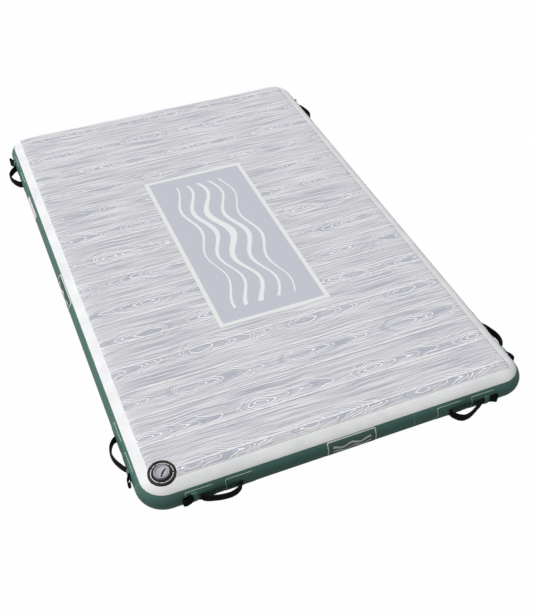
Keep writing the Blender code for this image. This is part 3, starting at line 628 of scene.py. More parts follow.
def slab_mesh(name, rows, columns, layer, closed=False, extras=()):
    """Thin solid whose upper and lower point at a row and a column are what layer gives.

    closed joins the last column to the first.
    """
    grid = np.array([[layer(row, column) for column in columns] for row in rows])
    count = len(rows) * len(columns)
    upper = np.arange(count).reshape(len(rows), len(columns))
    lower = upper + count
    faces = []
    for numbers in (upper, lower):
        for row, after in zip(numbers, numbers[1:]):
            quads = ring_faces(row, after)
            faces += quads if closed else quads[:-1]
    if closed:
        faces += ring_faces(upper[0], lower[0]) + ring_faces(upper[-1], lower[-1])
    else:
        faces += ring_faces(*[[*n[:-1, 0], *n[-1, :-1], *n[:0:-1, -1], *n[0, :0:-1]] for n in (upper, lower)])
    points = np.concatenate([grid[:, :, side].reshape(count, -1) for side in (0, 1)])
    return made_mesh(name, points, faces, extras)


def prism(name, outline, low, high):
    """Upright solid over a closed outline of (x, y) points."""
    count = len(outline)
    points = [(x, y, z) for z in (low, high) for x, y in outline]
    ends = [range(count), range(count, 2 * count)]
    return made_mesh(name, points, ring_faces(*ends) + ends)


def rounded_outline(half_x, half_y, radius, steps, centre=(0.0, 0.0)):
    """Closed outline of a rounded rectangle, with so many steps round each corner."""
    outline = []
    for quarter, (sx, sy) in enumerate([(1, 1), (-1, 1), (-1, -1), (1, -1)]):
        for i in range(steps + 1):
            turn = math.pi / 2 * (quarter + i / steps)
            outline.append((centre[0] + sx * (half_x - radius) + radius * math.cos(turn),
                            centre[1] + sy * (half_y - radius) + radius * math.sin(turn)))
    return outline


def turned_mesh(name, outline, steps=ROUND_STEPS):
    """Solid turned about Z from a closed outline of (radius, height) points."""
    points, rings = [], []
    for radius, height in outline:
        turns = [2 * math.pi * k / steps for k in range(steps if radius else 1)]
        rings.append([len(points) + (k if radius else 0) for k in range(steps)])
        points += [(radius * math.cos(turn), radius * math.sin(turn), height) for turn in turns]
    quads = [quad for pair in zip(rings, rings[1:] + rings[:1]) for quad in ring_faces(*pair)]
    faces = [tuple(dict.fromkeys(quad)) for quad in quads]
    return made_mesh(name, points, [face for face in faces if len(face) > 2])


def boolean_mesh(name, base, steps):
    """Base mesh after boolean steps, each (operation, mesh)."""
    target = linked(name, base)
    tools = [linked(name + "_tool", mesh) for _, mesh in steps]
    for (operation, _), tool in zip(steps, tools):
        modifier = target.modifiers.new("cut", "BOOLEAN")
        modifier.operation = operation
        modifier.solver = "EXACT"
        modifier.object = tool
    return evaluated(target, *tools)


def bevelled(mesh, width):
    """Mesh with its hard edges rounded off."""
    obj = linked(mesh.name, mesh)
    modifier = obj.modifiers.new("round", "BEVEL")
    modifier.width = width
    modifier.segments = 3
    modifier.limit_method = "ANGLE"
    modifier.angle_limit = math.radians(35)
    return evaluated(obj)


def joined(name, meshes):
    """One mesh of several."""
    work = bmesh.new()
    for mesh in meshes:
        work.from_mesh(mesh)
    result = bpy.data.meshes.new(name)
    work.to_mesh(result)
    work.free()
    return result


def largest_part(mesh):
    """Mesh without the loose scraps that a cut left."""
    work = bmesh.new()
    work.from_mesh(mesh)
    left = set(work.verts)
    parts = []
    while left:
        reached = [left.pop()]
        for vertex in reached:
            near = left & {edge.other_vert(vertex) for edge in vertex.link_edges}
            left -= near
            reached += near
        parts.append(reached)
    scraps = set(work.verts) - set(max(parts, key=len))
    bmesh.ops.delete(work, geom=list(scraps), context="VERTS")
    work.to_mesh(mesh)
    work.free()
    return mesh


def add_piece(name, mesh, material, stands_for=(), angle=40, body="dock", slot=None):
    """Piece that rides on a body, or on none. Edges sharper than the angle look hard."""
    mesh.materials.clear()
    mesh.materials.append(MATERIALS[material])
    mesh.shade_smooth()
    mesh.set_sharp_from_angle(angle=math.radians(angle))
    piece = linked(name, mesh)
    if body:
        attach(piece, body)
    if stands_for:
        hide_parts(*stands_for)
    slot or material
    return piece


def smooth(t):
    """0 up to 0, 1 from 1 on, smooth between them."""
    t = min(1.0, max(0.0, t))
    return t * t * (3 - 2 * t)


# Air chamber


def edge_point(angle, offset=0.0):
    """Reach beyond the flat deck, and height, of the rounded edge moved out by offset."""
    nx, nz = math.sin(angle) / EDGE_BULGE, math.cos(angle) / HALF_THICK
    size = math.hypot(nx, nz)
    return (EDGE_BULGE * math.sin(angle) + offset * nx / size,
            HALF_THICK + HALF_THICK * math.cos(angle) + offset * nz / size)


def plan_ring(reach, height):
    """Closed ring round the dock at a reach beyond the flat deck."""
    outline = rounded_outline(DECK_HALF_X + reach, DECK_HALF_Y + reach, DECK_CORNER + reach, CORNER_STEPS)
    return [(x, y, height) for x, y in outline]


def shell_mesh(name, angles, outer, inner, closed_middle):
    """Closed layer of the chamber's surface. outer and inner give the offset at an angle."""
    rings = [plan_ring(*edge_point(angle, offset(angle))) for offset in (outer, inner) for angle in angles]
    size = len(rings[0])
    numbers = [range(size * k, size * (k + 1)) for k in range(len(rings))]
    upper, lower = numbers[:len(angles)], numbers[len(angles):]
    faces = []
    for layer in (upper, lower):
        for ring, after in zip(layer, layer[1:]):
            faces += ring_faces(ring, after)
        if closed_middle:
            faces.append(layer[0])
    faces += ring_faces(upper[-1], lower[-1])
    if not closed_middle:
        faces += ring_faces(upper[0], lower[0])
    return made_mesh(name, sum(rings, []), faces)


def upright_disc(name, radius, low, high):
    """Disc about the valve's axis."""
    mesh = turned_mesh(name, [(0, low), (radius, low), (radius, high), (0, high)])
    mesh.transform(VALVE)
    return mesh


def far_rim(mesh):
    """Marks the whole mesh as far from any cut edge."""
    store(mesh, "rim", [1.0] * len(mesh.vertices))
    return mesh


def build_chamber():
    step = math.pi / EDGE_STEPS
    top_angles = [a * step for a in range(int(SEAM_ANGLE / step) + 1)] + [SEAM_ANGLE, SEAM_ANGLE + LAP_ANGLE]
    wall_span = math.pi - 2 * SEAM_ANGLE
    wall_angles = [SEAM_ANGLE + wall_span * i / WALL_STEPS for i in range(WALL_STEPS + 1)]
    bottom_angles = [math.pi - a for a in top_angles[:-1]]

    def lap(angle):
        return smooth((angle - LAP_START) / LAP_SPAN)

    def upper(angle):
        return LAP_RISE * lap(angle)

    def lower(angle):
        return LAP_FIT * lap(angle) - SHEET * (1 - lap(angle))

    def outer(angle):
        return 0.0

    def inner(angle):
        return -SHEET

    hole = upright_disc("hole", TUBE_RADIUS + FIT, -0.02, 0.02)
    top = shell_mesh("top_sheet", top_angles, upper, lower, True)
    top = boolean_mesh("top_sheet", top, [("DIFFERENCE", hole)])
    add_piece("top_sheet", far_rim(top), "white_sheet", ["top_skin"], 25)
    wall = shell_mesh("wall_sheet", wall_angles, outer, inner, False)
    add_piece("wall_sheet", far_rim(wall), "green_sheet", ["side_wall"], 25)
    bottom = shell_mesh("bottom_sheet", bottom_angles, outer, inner, True)
    add_piece("bottom_sheet", far_rim(bottom), "grey_sheet", ["bottom_skin"], 25)


def box_distance(x, y, half_x, half_y, radius):
    """Distance outside a rounded rectangle, negative inside it."""
    dx, dy = abs(x) - (half_x - radius), abs(y) - (half_y - radius)
    return math.hypot(max(dx, 0), max(dy, 0)) + min(max(dx, dy), 0) - radius


def deck_height(x, y):
    """Height of the chamber's upper surface."""
    beyond = box_distance(x, y, DECK_HALF_X, DECK_HALF_Y, DECK_CORNER)
    share = min(0.999, max(0.0, beyond) / EDGE_BULGE)
    return HALF_THICK + HALF_THICK * math.sqrt(1 - share * share)


def build_deck_pad():
    low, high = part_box("deck_pad")
    left, right = low.x - PAD_LEFT_MORE, high.x
    front, rear = low.y + PAD_FRONT_LESS, high.y
    centre_x, centre_y = (left + right) / 2, (front + rear) / 2
    half_x, half_y = (right - left) / 2, (rear - front) / 2
    xs = sorted([centre_x + s * (half_x - d) for d in PAD_EDGE_PLACES for s in (-1, 1)]
                + [s * (PANEL_HALF_X + d) for d in (0.0, 0.0008) for s in (-1, 1)]
                + [x / 10 for x in range(-7, 8)])
    ys = [centre_y + s * (half_y - d) for d in PAD_EDGE_PLACES for s in (-1, 1)]
    lines = [PLANK_START + PLANK_PITCH * n for n in range(int((rear - PLANK_START) / PLANK_PITCH) + 1)]
    for line in lines:
        ys += [line + GROOVE_WIDTH / 2 * place for place in GROOVE_PLACES]
    ys = sorted(set(round(y, 6) for y in ys if front <= y <= rear))

    def depth_in(x, y):
        """How far a point lies in from the pad's outline."""
        return -box_distance(x - centre_x, y - centre_y, half_x, half_y, PAD_CORNER)

    def groove(x, y):
        if abs(x) <= PANEL_HALF_X and abs(y) <= PANEL_HALF_Y + GROOVE_WIDTH:
            return 0.0
        off = min(abs(y - line) for line in lines) / (GROOVE_WIDTH / 2)
        return GROOVE_DEPTH * math.sqrt(1 - off * off) if off < 1 else 0.0

    def layer(y, x):
        round_off = min(1.0, max(0.0, depth_in(x, y)) / PAD_BEVEL)
        bend = math.sqrt(1 - (1 - round_off) ** 2)
        bend += PAD_EDGE_EASE * (smooth(round_off) - bend)
        edge = PAD_EDGE_STEP + (1 - PAD_EDGE_STEP) * bend
        base = deck_height(x, y)
        return (x, y, base + PAD_FOAM * edge - groove(x, y) * round_off), (x, y, base)

    grid = slab_mesh("pad", ys, xs, layer)
    outline = rounded_outline(half_x, half_y, PAD_CORNER, 8, (centre_x, centre_y))
    cutter = prism("pad_outline", outline, THICKNESS - 0.05, THICKNESS + 0.05)
    well = upright_disc("well", SURROUND_RADIUS + PAD_WELL, -0.02, 0.02)
    mesh = largest_part(boolean_mesh("deck_foam_pad", grid, [("INTERSECT", cutter), ("DIFFERENCE", well)]))
    store(mesh, "rim", [depth_in(v.co.x, v.co.y) for v in mesh.vertices])
    pad = add_piece("deck_foam_pad", mesh, "deck_foam", ["deck_pad"], 30)


# Side fittings, modelled in a side's own frame: along the side, out from its widest line, and up


SIDES = {
    "front": (0.0, HALF_LENGTH, ("left", "right")),
    "right": (math.pi / 2, HALF_WIDTH, ("front", "rear")),
    "rear": (math.pi, HALF_LENGTH, ("right", "left")),
    "left": (-math.pi / 2, HALF_WIDTH, ("rear", "front")),
}


def side_matrix(side):
    turn, distance, _ = SIDES[side]
    flip = Matrix.Scale(-1, 4, Vector((0, 1, 0)))
    return Matrix.Rotation(turn, 4, "Z") @ Matrix.Translation((0, -distance, 0)) @ flip


def side_box(node, side):
    """A node's lowest and highest corner in its side's frame."""
    back = side_matrix(side).inverted()
    corners = [back @ Vector(c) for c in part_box(node)]
    return [min(a, b) for a, b in zip(*corners)], [max(a, b) for a, b in zip(*corners)]


def to_side(mesh, side):
    """Mesh moved from its side's frame to the dock's."""
    mesh.transform(side_matrix(side))
    mesh.flip_normals()
    return mesh


ARC_ANGLES = np.radians(np.arange(45, 136, 0.5))
ARC_RUNS = np.cumsum([0.0] + [math.hypot(EDGE_BULGE * (math.sin(b) - math.sin(a)),
                                         HALF_THICK * (math.cos(b) - math.cos(a)))
                              for a, b in zip(ARC_ANGLES, ARC_ANGLES[1:])])
ARC_RUNS -= np.interp(math.pi / 2, ARC_ANGLES, ARC_RUNS)


def wall_point(along, run, offset):
    """Point on the wall. run is measured along the wall's bend, down from its widest line."""
    reach, height = edge_point(float(np.interp(run, ARC_RUNS, ARC_ANGLES)), offset)
    return along, reach - EDGE_BULGE, height


def run_at(height):
    """Run of the wall's outer face at a height."""
    angle = math.acos(max(-1, min(1, (height - HALF_THICK) / HALF_THICK)))
    return float(np.interp(angle, ARC_ANGLES, ARC_RUNS))


def spaced(low, high, fine, step):
    """Places from low to high: close together at both ends, then evenly."""
    middle = np.linspace(low + fine[-1], high - fine[-1], max(2, int((high - low - 2 * fine[-1]) / step) + 1))
    return [low + d for d in fine[:-1]] + list(middle) + [high - d for d in reversed(fine[:-1])]


def wall_sheet(name, along, length, low_run, high_run, corner, rise, thick, edge_width=0.0012, faint=0.0):
    """Thin rounded rectangle that follows the wall, with its distance to its rim stored on its points. On the
    lower and trailing side that distance is pushed out as painted shade, so the pale edge shows less there.
    """
    corner_rows = [corner * (1 - math.cos(math.pi / 2 * k / 8)) for k in range(9)]
    rows = spaced(low_run, high_run, corner_rows, 0.006)
    shares = [x / (length / 2) for x in spaced(-length / 2, length / 2, SHEET_END_PLACES, 0.012)]
    middle = (low_run + high_run) / 2

    def layer(run, share):
        inset = max(0.0, min(run - low_run, high_run - run))
        half = length / 2
        if inset < corner:
            half += math.sqrt(max(0.0, corner ** 2 - (corner - inset) ** 2)) - corner
        u = half * share
        depth = -box_distance(u, run - middle, length / 2, (high_run - low_run) / 2, corner)
        edge = min(1.0, max(0.0, depth) / edge_width)
        lift = thick * (SHEET_EDGE_STEP + (1 - SHEET_EDGE_STEP) * math.sqrt(1 - (1 - edge) ** 2))
        # painted shade: the pale edge is dimmed at the trailing end and on the lower side, and a little on
        # the upper side, as if these lay in shade; faint dims it evenly
        trailing = max(smooth(u / (length / 2) * 4 - 2.6), smooth((run - middle) * 60 - 1.2))
        painted_shade_and_faint = RIM_SHADE * (trailing + 0.35 * smooth((middle - run) * 60 - 1.2)) + faint
        values = (depth + painted_shade_and_faint, u, middle - run)
        return [(*wall_point(along + u, run, out), *values) for out in (rise + lift, rise)]

    return slab_mesh(name, rows, shares, layer, extras=("rim", "label_u", "label_v"))


def fall(up):
    """How far the wall falls back from its widest line at a height above or below it."""
    return EDGE_BULGE * (1 - math.sqrt(max(0.0, 1 - (up / HALF_THICK) ** 2)))


def curve_through(knots, steps):
    """Smooth run of points through knots, each a tuple of numbers."""
    knots = [np.array(k, float) for k in knots]
    ends = [2 * knots[0] - knots[1]] + knots + [2 * knots[-1] - knots[-2]]
    points = []
    for a, b, c, d in zip(ends, ends[1:], ends[2:], ends[3:]):
        for k in range(steps):
            t = k / steps
            points.append(0.5 * (2 * b + (c - a) * t + (2 * a - 5 * b + 4 * c - d) * t ** 2
                                 + (3 * b - a - 3 * c + d) * t ** 3))
    return np.array(points + [knots[-1]])


def strap_mesh(name, stations):
    """Strap swept along the side. A station is along, out, width, thickness, flatness, hug and lift.

    flatness shapes the section, from 2 (oval) up to 10 (flat). hug is how far the strap takes the
    wall's bend. lift raises or lowers it.
    """
    stations = np.array(stations)
    path = stations[:, :2]
    tangents = np.gradient(path, axis=0)
    tangents /= np.linalg.norm(tangents, axis=1)[:, None]
    runs = np.concatenate([[0], np.cumsum(np.linalg.norm(np.diff(path, axis=0), axis=1))])
    shares = [-math.cos(math.pi * k / STRAP_STEPS) for k in range(STRAP_STEPS + 1)]
    loop = [(s, 1) for s in shares] + [(s, -1) for s in reversed(shares[1:-1])]
    points = []
    for (along, out, width, thick, flat, hug, lift), tangent, run in zip(stations, tangents, runs):
        normal = np.array([-tangent[1], tangent[0]])
        for share, face in loop:
            up = width / 2 * share
            swell = thick / 2 * face * (1 - abs(share) ** flat) ** (1 / flat)
            spot = np.array([along, out]) + normal * swell
            points.append((spot[0], spot[1] - hug * fall(up + lift), HALF_THICK + up + lift, run, up))
    return made_mesh(name, points, tube_faces(0, len(stations), len(loop)), ("run", "across"))


def stitch_mesh(name, stitches):
    """Short arched thread tubes, each between two points (along, out, up) of a side's frame."""
    points, faces = [], []
    for start, end in stitches:
        start, end = np.array(start), np.array(end)
        along = (end - start) / np.linalg.norm(end - start)
        across = np.cross(along, np.array([0.0, 1.0, 0.0]))
        across /= np.linalg.norm(across)
        out = np.cross(across, along)
        faces += tube_faces(len(points), len(STITCH_SHAPE), STITCH_SIDES)
        for share, rise, size in STITCH_SHAPE:
            centre = start + (end - start) * share + out * rise
            for turn in [2 * math.pi * k / STITCH_SIDES for k in range(STITCH_SIDES)]:
                spoke = across * math.cos(turn) + out * math.sin(turn)
                points.append(centre + THREAD_RADIUS * size * spoke)
    return made_mesh(name, points, faces)


def bar_tack(start, columns, face, lift):
    """Zigzag columns of stitches. start is the first one's edge. face gives how far out the cloth is."""
    stitches = []
    for near in [start + column * TACK_COLUMN for column in range(columns)]:
        for k in range(int(TACK_HEIGHT / TACK_PITCH)):
            alongs = (near, near + TACK_COLUMN) if k % 2 else (near + TACK_COLUMN, near)
            ups = (-TACK_HEIGHT / 2 + k * TACK_PITCH, -TACK_HEIGHT / 2 + (k + 1) * TACK_PITCH)
            stitches.append([(a, face(up) + 0.0001, HALF_THICK + lift + up) for a, up in zip(alongs, ups)])
    return stitches


# How each handle lies: its bow, where along it the bow is widest, how steadily it rises from its outer and
# from its inner end, and how far it sags.
HANDLE_LIES = {
    ("front", "left"): (0.0325, -0.025, 0.85, 0.62, 0.0060),
    ("front", "right"): (0.0480, -0.042, 1.7, 0.62, 0.0025),
    ("right", "front"): (0.0310, 0.014, 0.75, 1.2, 0.0010),
    ("right", "rear"): (0.0270, -0.014, 0.95, 0.9, 0.0065),
    ("rear", "right"): (0.0250, -0.006, 0.9, 0.8, 0.0030),
    ("rear", "left"): (0.0260, 0.004, 1.0, 0.8, 0.0030),
    ("left", "rear"): (0.0470, 0.012, 1.0, 0.62, 0.0040),
    ("left", "front"): (0.0385, -0.014, 1.0, 0.62, 0.0040),
}
# How each tow loop lies: its reach beyond its hinge, the cover's end beyond the hinge, its lean in degrees
# and how high it sits.
LOOP_LIES = {
    ("front", "left"): (0.0420, 0.0035, 0, 0.0066),
    ("front", "right"): (0.0262, -0.0145, -1, -0.0010),
    ("right", "front"): (0.0500, 0.0, 3, 0.0020),
    ("right", "rear"): (0.0300, 0.0, -1, -0.0090),
    ("rear", "right"): (0.0430, -0.0020, 4, 0.0020),
    ("rear", "left"): (0.0410, 0.0, 2, 0.0),
    ("left", "rear"): (0.0430, 0.0, 14, 0.0020),
    ("left", "front"): (0.0450, 0.0, 6, 0.0010),
}
HANDLE_REACH = 0.0955  # from a handle's middle to its sewn ends
HANDLE_FREE = 0.0885  # from a handle's middle to where it leaves the wall
HANDLE_REST = 0.0026  # from the wall's widest line to the middle of the sewn webbing
HANDLE_HUG = 0.85  # how far its sewn ends take the wall's bend
HANDLE_STEPS = 34
HANDLE_SEWN_PLACE = 0.0925  # a row of points between its sewn end and where it leaves the wall
HANDLE_INNER_TACK = 0.0027  # from its inner end to the middle of its stitches
HANDLE_OUTER_TACK = 0.0057
HANDLE_BEND = (0.004, 0.022)  # out from the wall's widest line, given as the ends of a bend that is not made
HANDLE_LEAVES = (0.0028, 0.007)  # how far out it starts to leave the wall's bend, and over how much
GRIP_SLIM = (0.078, 0.048)  # how far from its middle it starts to narrow, and over how much
GRIP_PLUMP = (0.082, 0.035)  # the same for its padding
# A tow loop's run, from one sewn end round its far end and back to the other: how far it is beyond the hinge,
# its share of the loop's extra reach, how far out it is, and its share of the lean.
LOOP_KNOTS = [
    (-0.0190, 0.0, -0.0045, 0.0), (-0.0100, 0.0, -0.0044, 0.0), (-0.0010, 0.0, -0.0038, 0.1),
    (0.0100, 0.0, -0.0044, 0.6), (0.0220, 0.5, -0.0048, 1.0), (0.0355, 1.0, -0.0050, 1.0),
    (0.0425, 1.0, -0.0032, 1.0), (0.0440, 1.0, 0.0012, 1.0), (0.0415, 1.0, 0.0054, 1.0),
    (0.0340, 1.0, 0.0074, 1.0), (0.0220, 0.5, 0.0066, 1.0), (0.0100, 0.0, 0.0042, 0.6),
    (0.0020, 0.0, 0.0012, 0.1), (-0.0080, 0.0, -0.0014, 0.0), (-0.0190, 0.0, -0.0020, 0.0),
]
LOOP_REACH = 0.044  # a loop's reach without extra


def add_strap(node, side, stations, start, end):
    """Webbing of a node, swept along the side, on no body. start and end, two points of the side's frame,
    have no effect.
    """
    mesh = to_side(strap_mesh(node + "_webbing", stations), side)
    piece = add_piece(node + "_webbing", mesh, "webbing", [node], 50, body=None)
    place = side_matrix(side)
    place @ Vector(start)
    place @ Vector(end)
    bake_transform(piece)


def handle_stations(bow, peak, outer_power, inner_power, sag):
    """Stations from a handle's inner end to its outer end."""
    sewn = [-HANDLE_REACH, -HANDLE_SEWN_PLACE]
    free = [-HANDLE_FREE * math.cos(math.pi * k / HANDLE_STEPS) for k in range(HANDLE_STEPS + 1)]
    stations = []
    for along in sewn + free + [-place for place in reversed(sewn)]:
        out = HANDLE_REST
        if abs(along) < HANDLE_FREE:
            rise, gain = (along + HANDLE_FREE) / (peak + HANDLE_FREE), inner_power
            if along > peak:
                rise, gain = (HANDLE_FREE - along) / (HANDLE_FREE - peak), outer_power
            out += bow * math.sin(math.pi / 2 * rise) ** gain
        leave = smooth((out - HANDLE_LEAVES[0]) / HANDLE_LEAVES[1])
        slim = smooth((GRIP_SLIM[0] - abs(along)) / GRIP_SLIM[1])
        plump = smooth((GRIP_PLUMP[0] - abs(along)) / GRIP_PLUMP[1])
        width = HANDLE_TAB_WIDTH + (GRIP_WIDTH - HANDLE_TAB_WIDTH) * slim
        thick = HANDLE_TAB_THICK + (GRIP_THICK - HANDLE_TAB_THICK) * plump
        flatness = STRAP_FLATNESS - GRIP_ROUNDER * plump
        stations.append((along, out, width, thick, flatness, HANDLE_HUG * (1 - leave), -sag))
    return stations


def build_handle(side, end, direction):
    node = f"{side}_side_{end}_handle"
    low, high = side_box(node, side)
    middle = (low[0] + high[0]) / 2
    stations = [(middle + direction * s[0], *s[1:]) for s in handle_stations(*HANDLE_LIES[side, end])]
    add_strap(node, side, stations, *[(middle, out, HALF_THICK) for out in HANDLE_BEND])
    sag = HANDLE_LIES[side, end][-1]

    def face(up):
        return HANDLE_REST + HANDLE_TAB_THICK / 2 - HANDLE_HUG * fall(up - sag)

    inner_tack = middle - direction * (HANDLE_REACH - HANDLE_INNER_TACK)
    outer_tack = middle + direction * (HANDLE_REACH - HANDLE_OUTER_TACK)
    stitches = bar_tack(inner_tack - TACK_COLUMN / 2, 1, face, -sag)
    stitches += bar_tack(outer_tack - TACK_COLUMN * 1.5, 3, face, -sag)
    mesh = to_side(stitch_mesh(node + "_stitching", stitches), side)
    add_piece(node + "_stitching", mesh, "red_thread", (), 60, slot="thread")


def build_loop(side, end, direction):
    node = f"{side}_side_{end}_tow_loop"
    joint = next(j for j in frame["joints"] if j["child"] == node)
    root = side_matrix(side).inverted() @ Vector(joint["pos_m"])
    reach, cover_end, lean, lift = LOOP_LIES[side, end]
    knots = [(forward + (reach - LOOP_REACH) * share, *rest) for forward, share, *rest in LOOP_KNOTS]
    stations = []
    for forward, out, lean_share in curve_through(knots, 5):
        turn = math.radians(lean) * min(1.0, max(0.0, lean_share))
        along = root.x + direction * (forward * math.cos(turn) - out * math.sin(turn))
        away = root.y + (forward * math.sin(turn) + out * math.cos(turn))
        hug = 1 - smooth(forward / LOOP_FREE)
        stations.append((along, away, LOOP_WIDTH, LOOP_THICK, STRAP_FLATNESS, hug, lift))
    add_strap(node, side, stations, *[(root.x + direction * beyond, root.y, root.z) for beyond in LOOP_BEND])
    low_run = run_at(HALF_THICK + lift + COVER_WIDTH / 2)
    high_run = run_at(HALF_THICK + lift - COVER_WIDTH / 2)
    middle = root.x + direction * (cover_end - COVER_LENGTH / 2)
    thick = root.y - LOOP_SEWN_DEPTH + LOOP_THICK / 2 + COVER_SHEET - COVER_RISE
    mesh = wall_sheet(node + "_cover", middle, COVER_LENGTH, low_run, high_run, COVER_CORNER, COVER_RISE,
                      thick, COVER_EDGE, COVER_FAINT)
    add_piece(node + "_cover", to_side(mesh, side), "green_sheet")


def build_sheet(node, side, corner, thick, material=None):
    """Sheet on the wall in a node's place. It is a label with its own print where no material is given."""
    low, high = side_box(node, side)
    low_run, high_run = run_at(high[2]), run_at(low[2])
    middle, length = (low[0] + high[0]) / 2, high[0] - low[0]
    mesh = wall_sheet(node + "_sheet", middle, length, low_run, high_run, corner, FIT, thick)
    if not material:
        MATERIALS[node] = label_print(node + "_print", length / 2, (high_run - low_run) / 2)
    slot = material or "green_sheet"
    add_piece(node + "_sheet", to_side(mesh, side), material or node, [node], slot=slot)


def build_side_fittings():
    for side, (_, _, ends) in SIDES.items():
        for direction, end in zip((-1, 1), ends):
            for kind in ("outer", "inner"):
                patch = f"{side}_side_{end}_{kind}_patch"
                build_sheet(patch, side, PATCH_CORNER, PATCH_THICK, "green_sheet")
            build_handle(side, end, direction)
            build_loop(side, end, direction)
    build_sheet("front_label", "front", LABEL_CORNER, LABEL_THICK)
    build_sheet("left_label", "left", LABEL_CORNER, LABEL_THICK)
    build_sheet("left_blank_plate", "left", LABEL_CORNER, LABEL_THICK, "blank_plate")
    top = run_at(edge_point(SEAM_ANGLE + LAP_ANGLE)[1])
    bottom = run_at(edge_point(math.pi - SEAM_ANGLE)[1])
    for side in ("front", "rear"):
        mesh = wall_sheet(side + "_wall_lap", WALL_LAP_PLACE, WALL_LAP_LENGTH, top, bottom, WALL_LAP_CORNER,
                          0.0, WALL_LAP_THICK, faint=WALL_LAP_FAINT)
        add_piece(side + "_wall_lap", to_side(mesh, side), "green_sheet")


# Valve, modelled about its own axis with the flange seat at height zero


def surround_height(radius, turn, rise):
    """Local height of the surround's upper face."""
    spot = VALVE @ Vector((radius * math.cos(turn), radius * math.sin(turn), 0))
    back = VALVE.inverted()
    skin = (back @ Vector((spot.x, spot.y, deck_height(spot.x, spot.y) + FIT + rise))).z
    seat = smooth((BOSS_RADIUS + 0.003 - radius) / 0.003)
    return skin * (1 - seat)


def polar_solid(name, profile, turns, low_rise, closed=False):
    """Solid on the surround's surface, from low_rise up to a profile of (radius, rise)."""
    def layer(step, turn):
        radius, rise = step
        x, y = radius * math.cos(turn), radius * math.sin(turn)
        low = surround_height(radius, turn, 0) + low_rise
        return (x, y, surround_height(radius, turn, rise)), (x, y, low)

    return slab_mesh(name, profile, turns, layer, closed)


def add_valve_piece(name, mesh, material, stands_for=(), angle=40, turn=0, **more):
    """Piece from a mesh in the valve's own frame, turned by degrees about its axis."""
    mesh.transform(VALVE @ Matrix.Rotation(math.radians(turn), 4, "Z"))
    add_piece(name, mesh, material, stands_for, angle, **more)


def build_surround():
    turns = [2 * math.pi * k / ROUND_STEPS for k in range(ROUND_STEPS)]
    mesh = polar_solid("valve_surround_moulding", SURROUND_PROFILE, turns, -0.0002, closed=True)
    add_valve_piece("valve_surround_moulding", mesh, "black_rubber", ["valve_surround"])
    arcs = []
    for start, end in zip(MARK_GAPS, MARK_GAPS[1:] + [MARK_GAPS[0] + 360]):
        turns = np.radians(np.linspace(start + MARK_GAP / 2, end - MARK_GAP / 2, 24))
        arcs.append(polar_solid("arc", MARK_PROFILE, turns, SURROUND_SHEET - 0.0002))
    marks = joined("valve_surround_marks", arcs)
    add_valve_piece("valve_surround_marks", marks, "pale_mark", slot="grey_plastic")


def build_valve_body():
    """Flange and tube, with a hub on three spokes that guides the poppet's stem."""
    bore = TUBE_RADIUS - TUBE_WALL
    top = FIT + FLANGE_PLATE
    outline = [(bore, top), (FLANGE_RADIUS, top), (FLANGE_RADIUS, FIT), (TUBE_RADIUS, FIT),
               (TUBE_RADIUS, -TUBE_DEPTH), (bore, -TUBE_DEPTH)]
    shell = bevelled(turned_mesh("valve_shell", outline), 0.0007)
    hub = [(STEM_BORE, HUB_LOW), (HUB_RADIUS, HUB_LOW), (HUB_RADIUS, HUB_HIGH), (STEM_BORE, HUB_HIGH)]
    pieces = [shell, bevelled(turned_mesh("hub", hub, 32), 0.0003)]
    near, far, half = SPOKE_NEAR, SPOKE_FAR, SPOKE_WIDTH / 2
    for k in range(3):
        outline = [(near, -half), (far, -half), (far, half), (near, half)]
        spoke = prism("spoke", outline, HUB_LOW + 0.0003, HUB_HIGH - 0.0003)
        spoke.transform(Matrix.Rotation(2 * math.pi * k / 3, 4, "Z"))
        pieces.append(spoke)
    mesh = joined("valve_body_moulding", pieces)
    add_valve_piece("valve_body_moulding", mesh, "grey_plastic", ["valve_body"], 30)


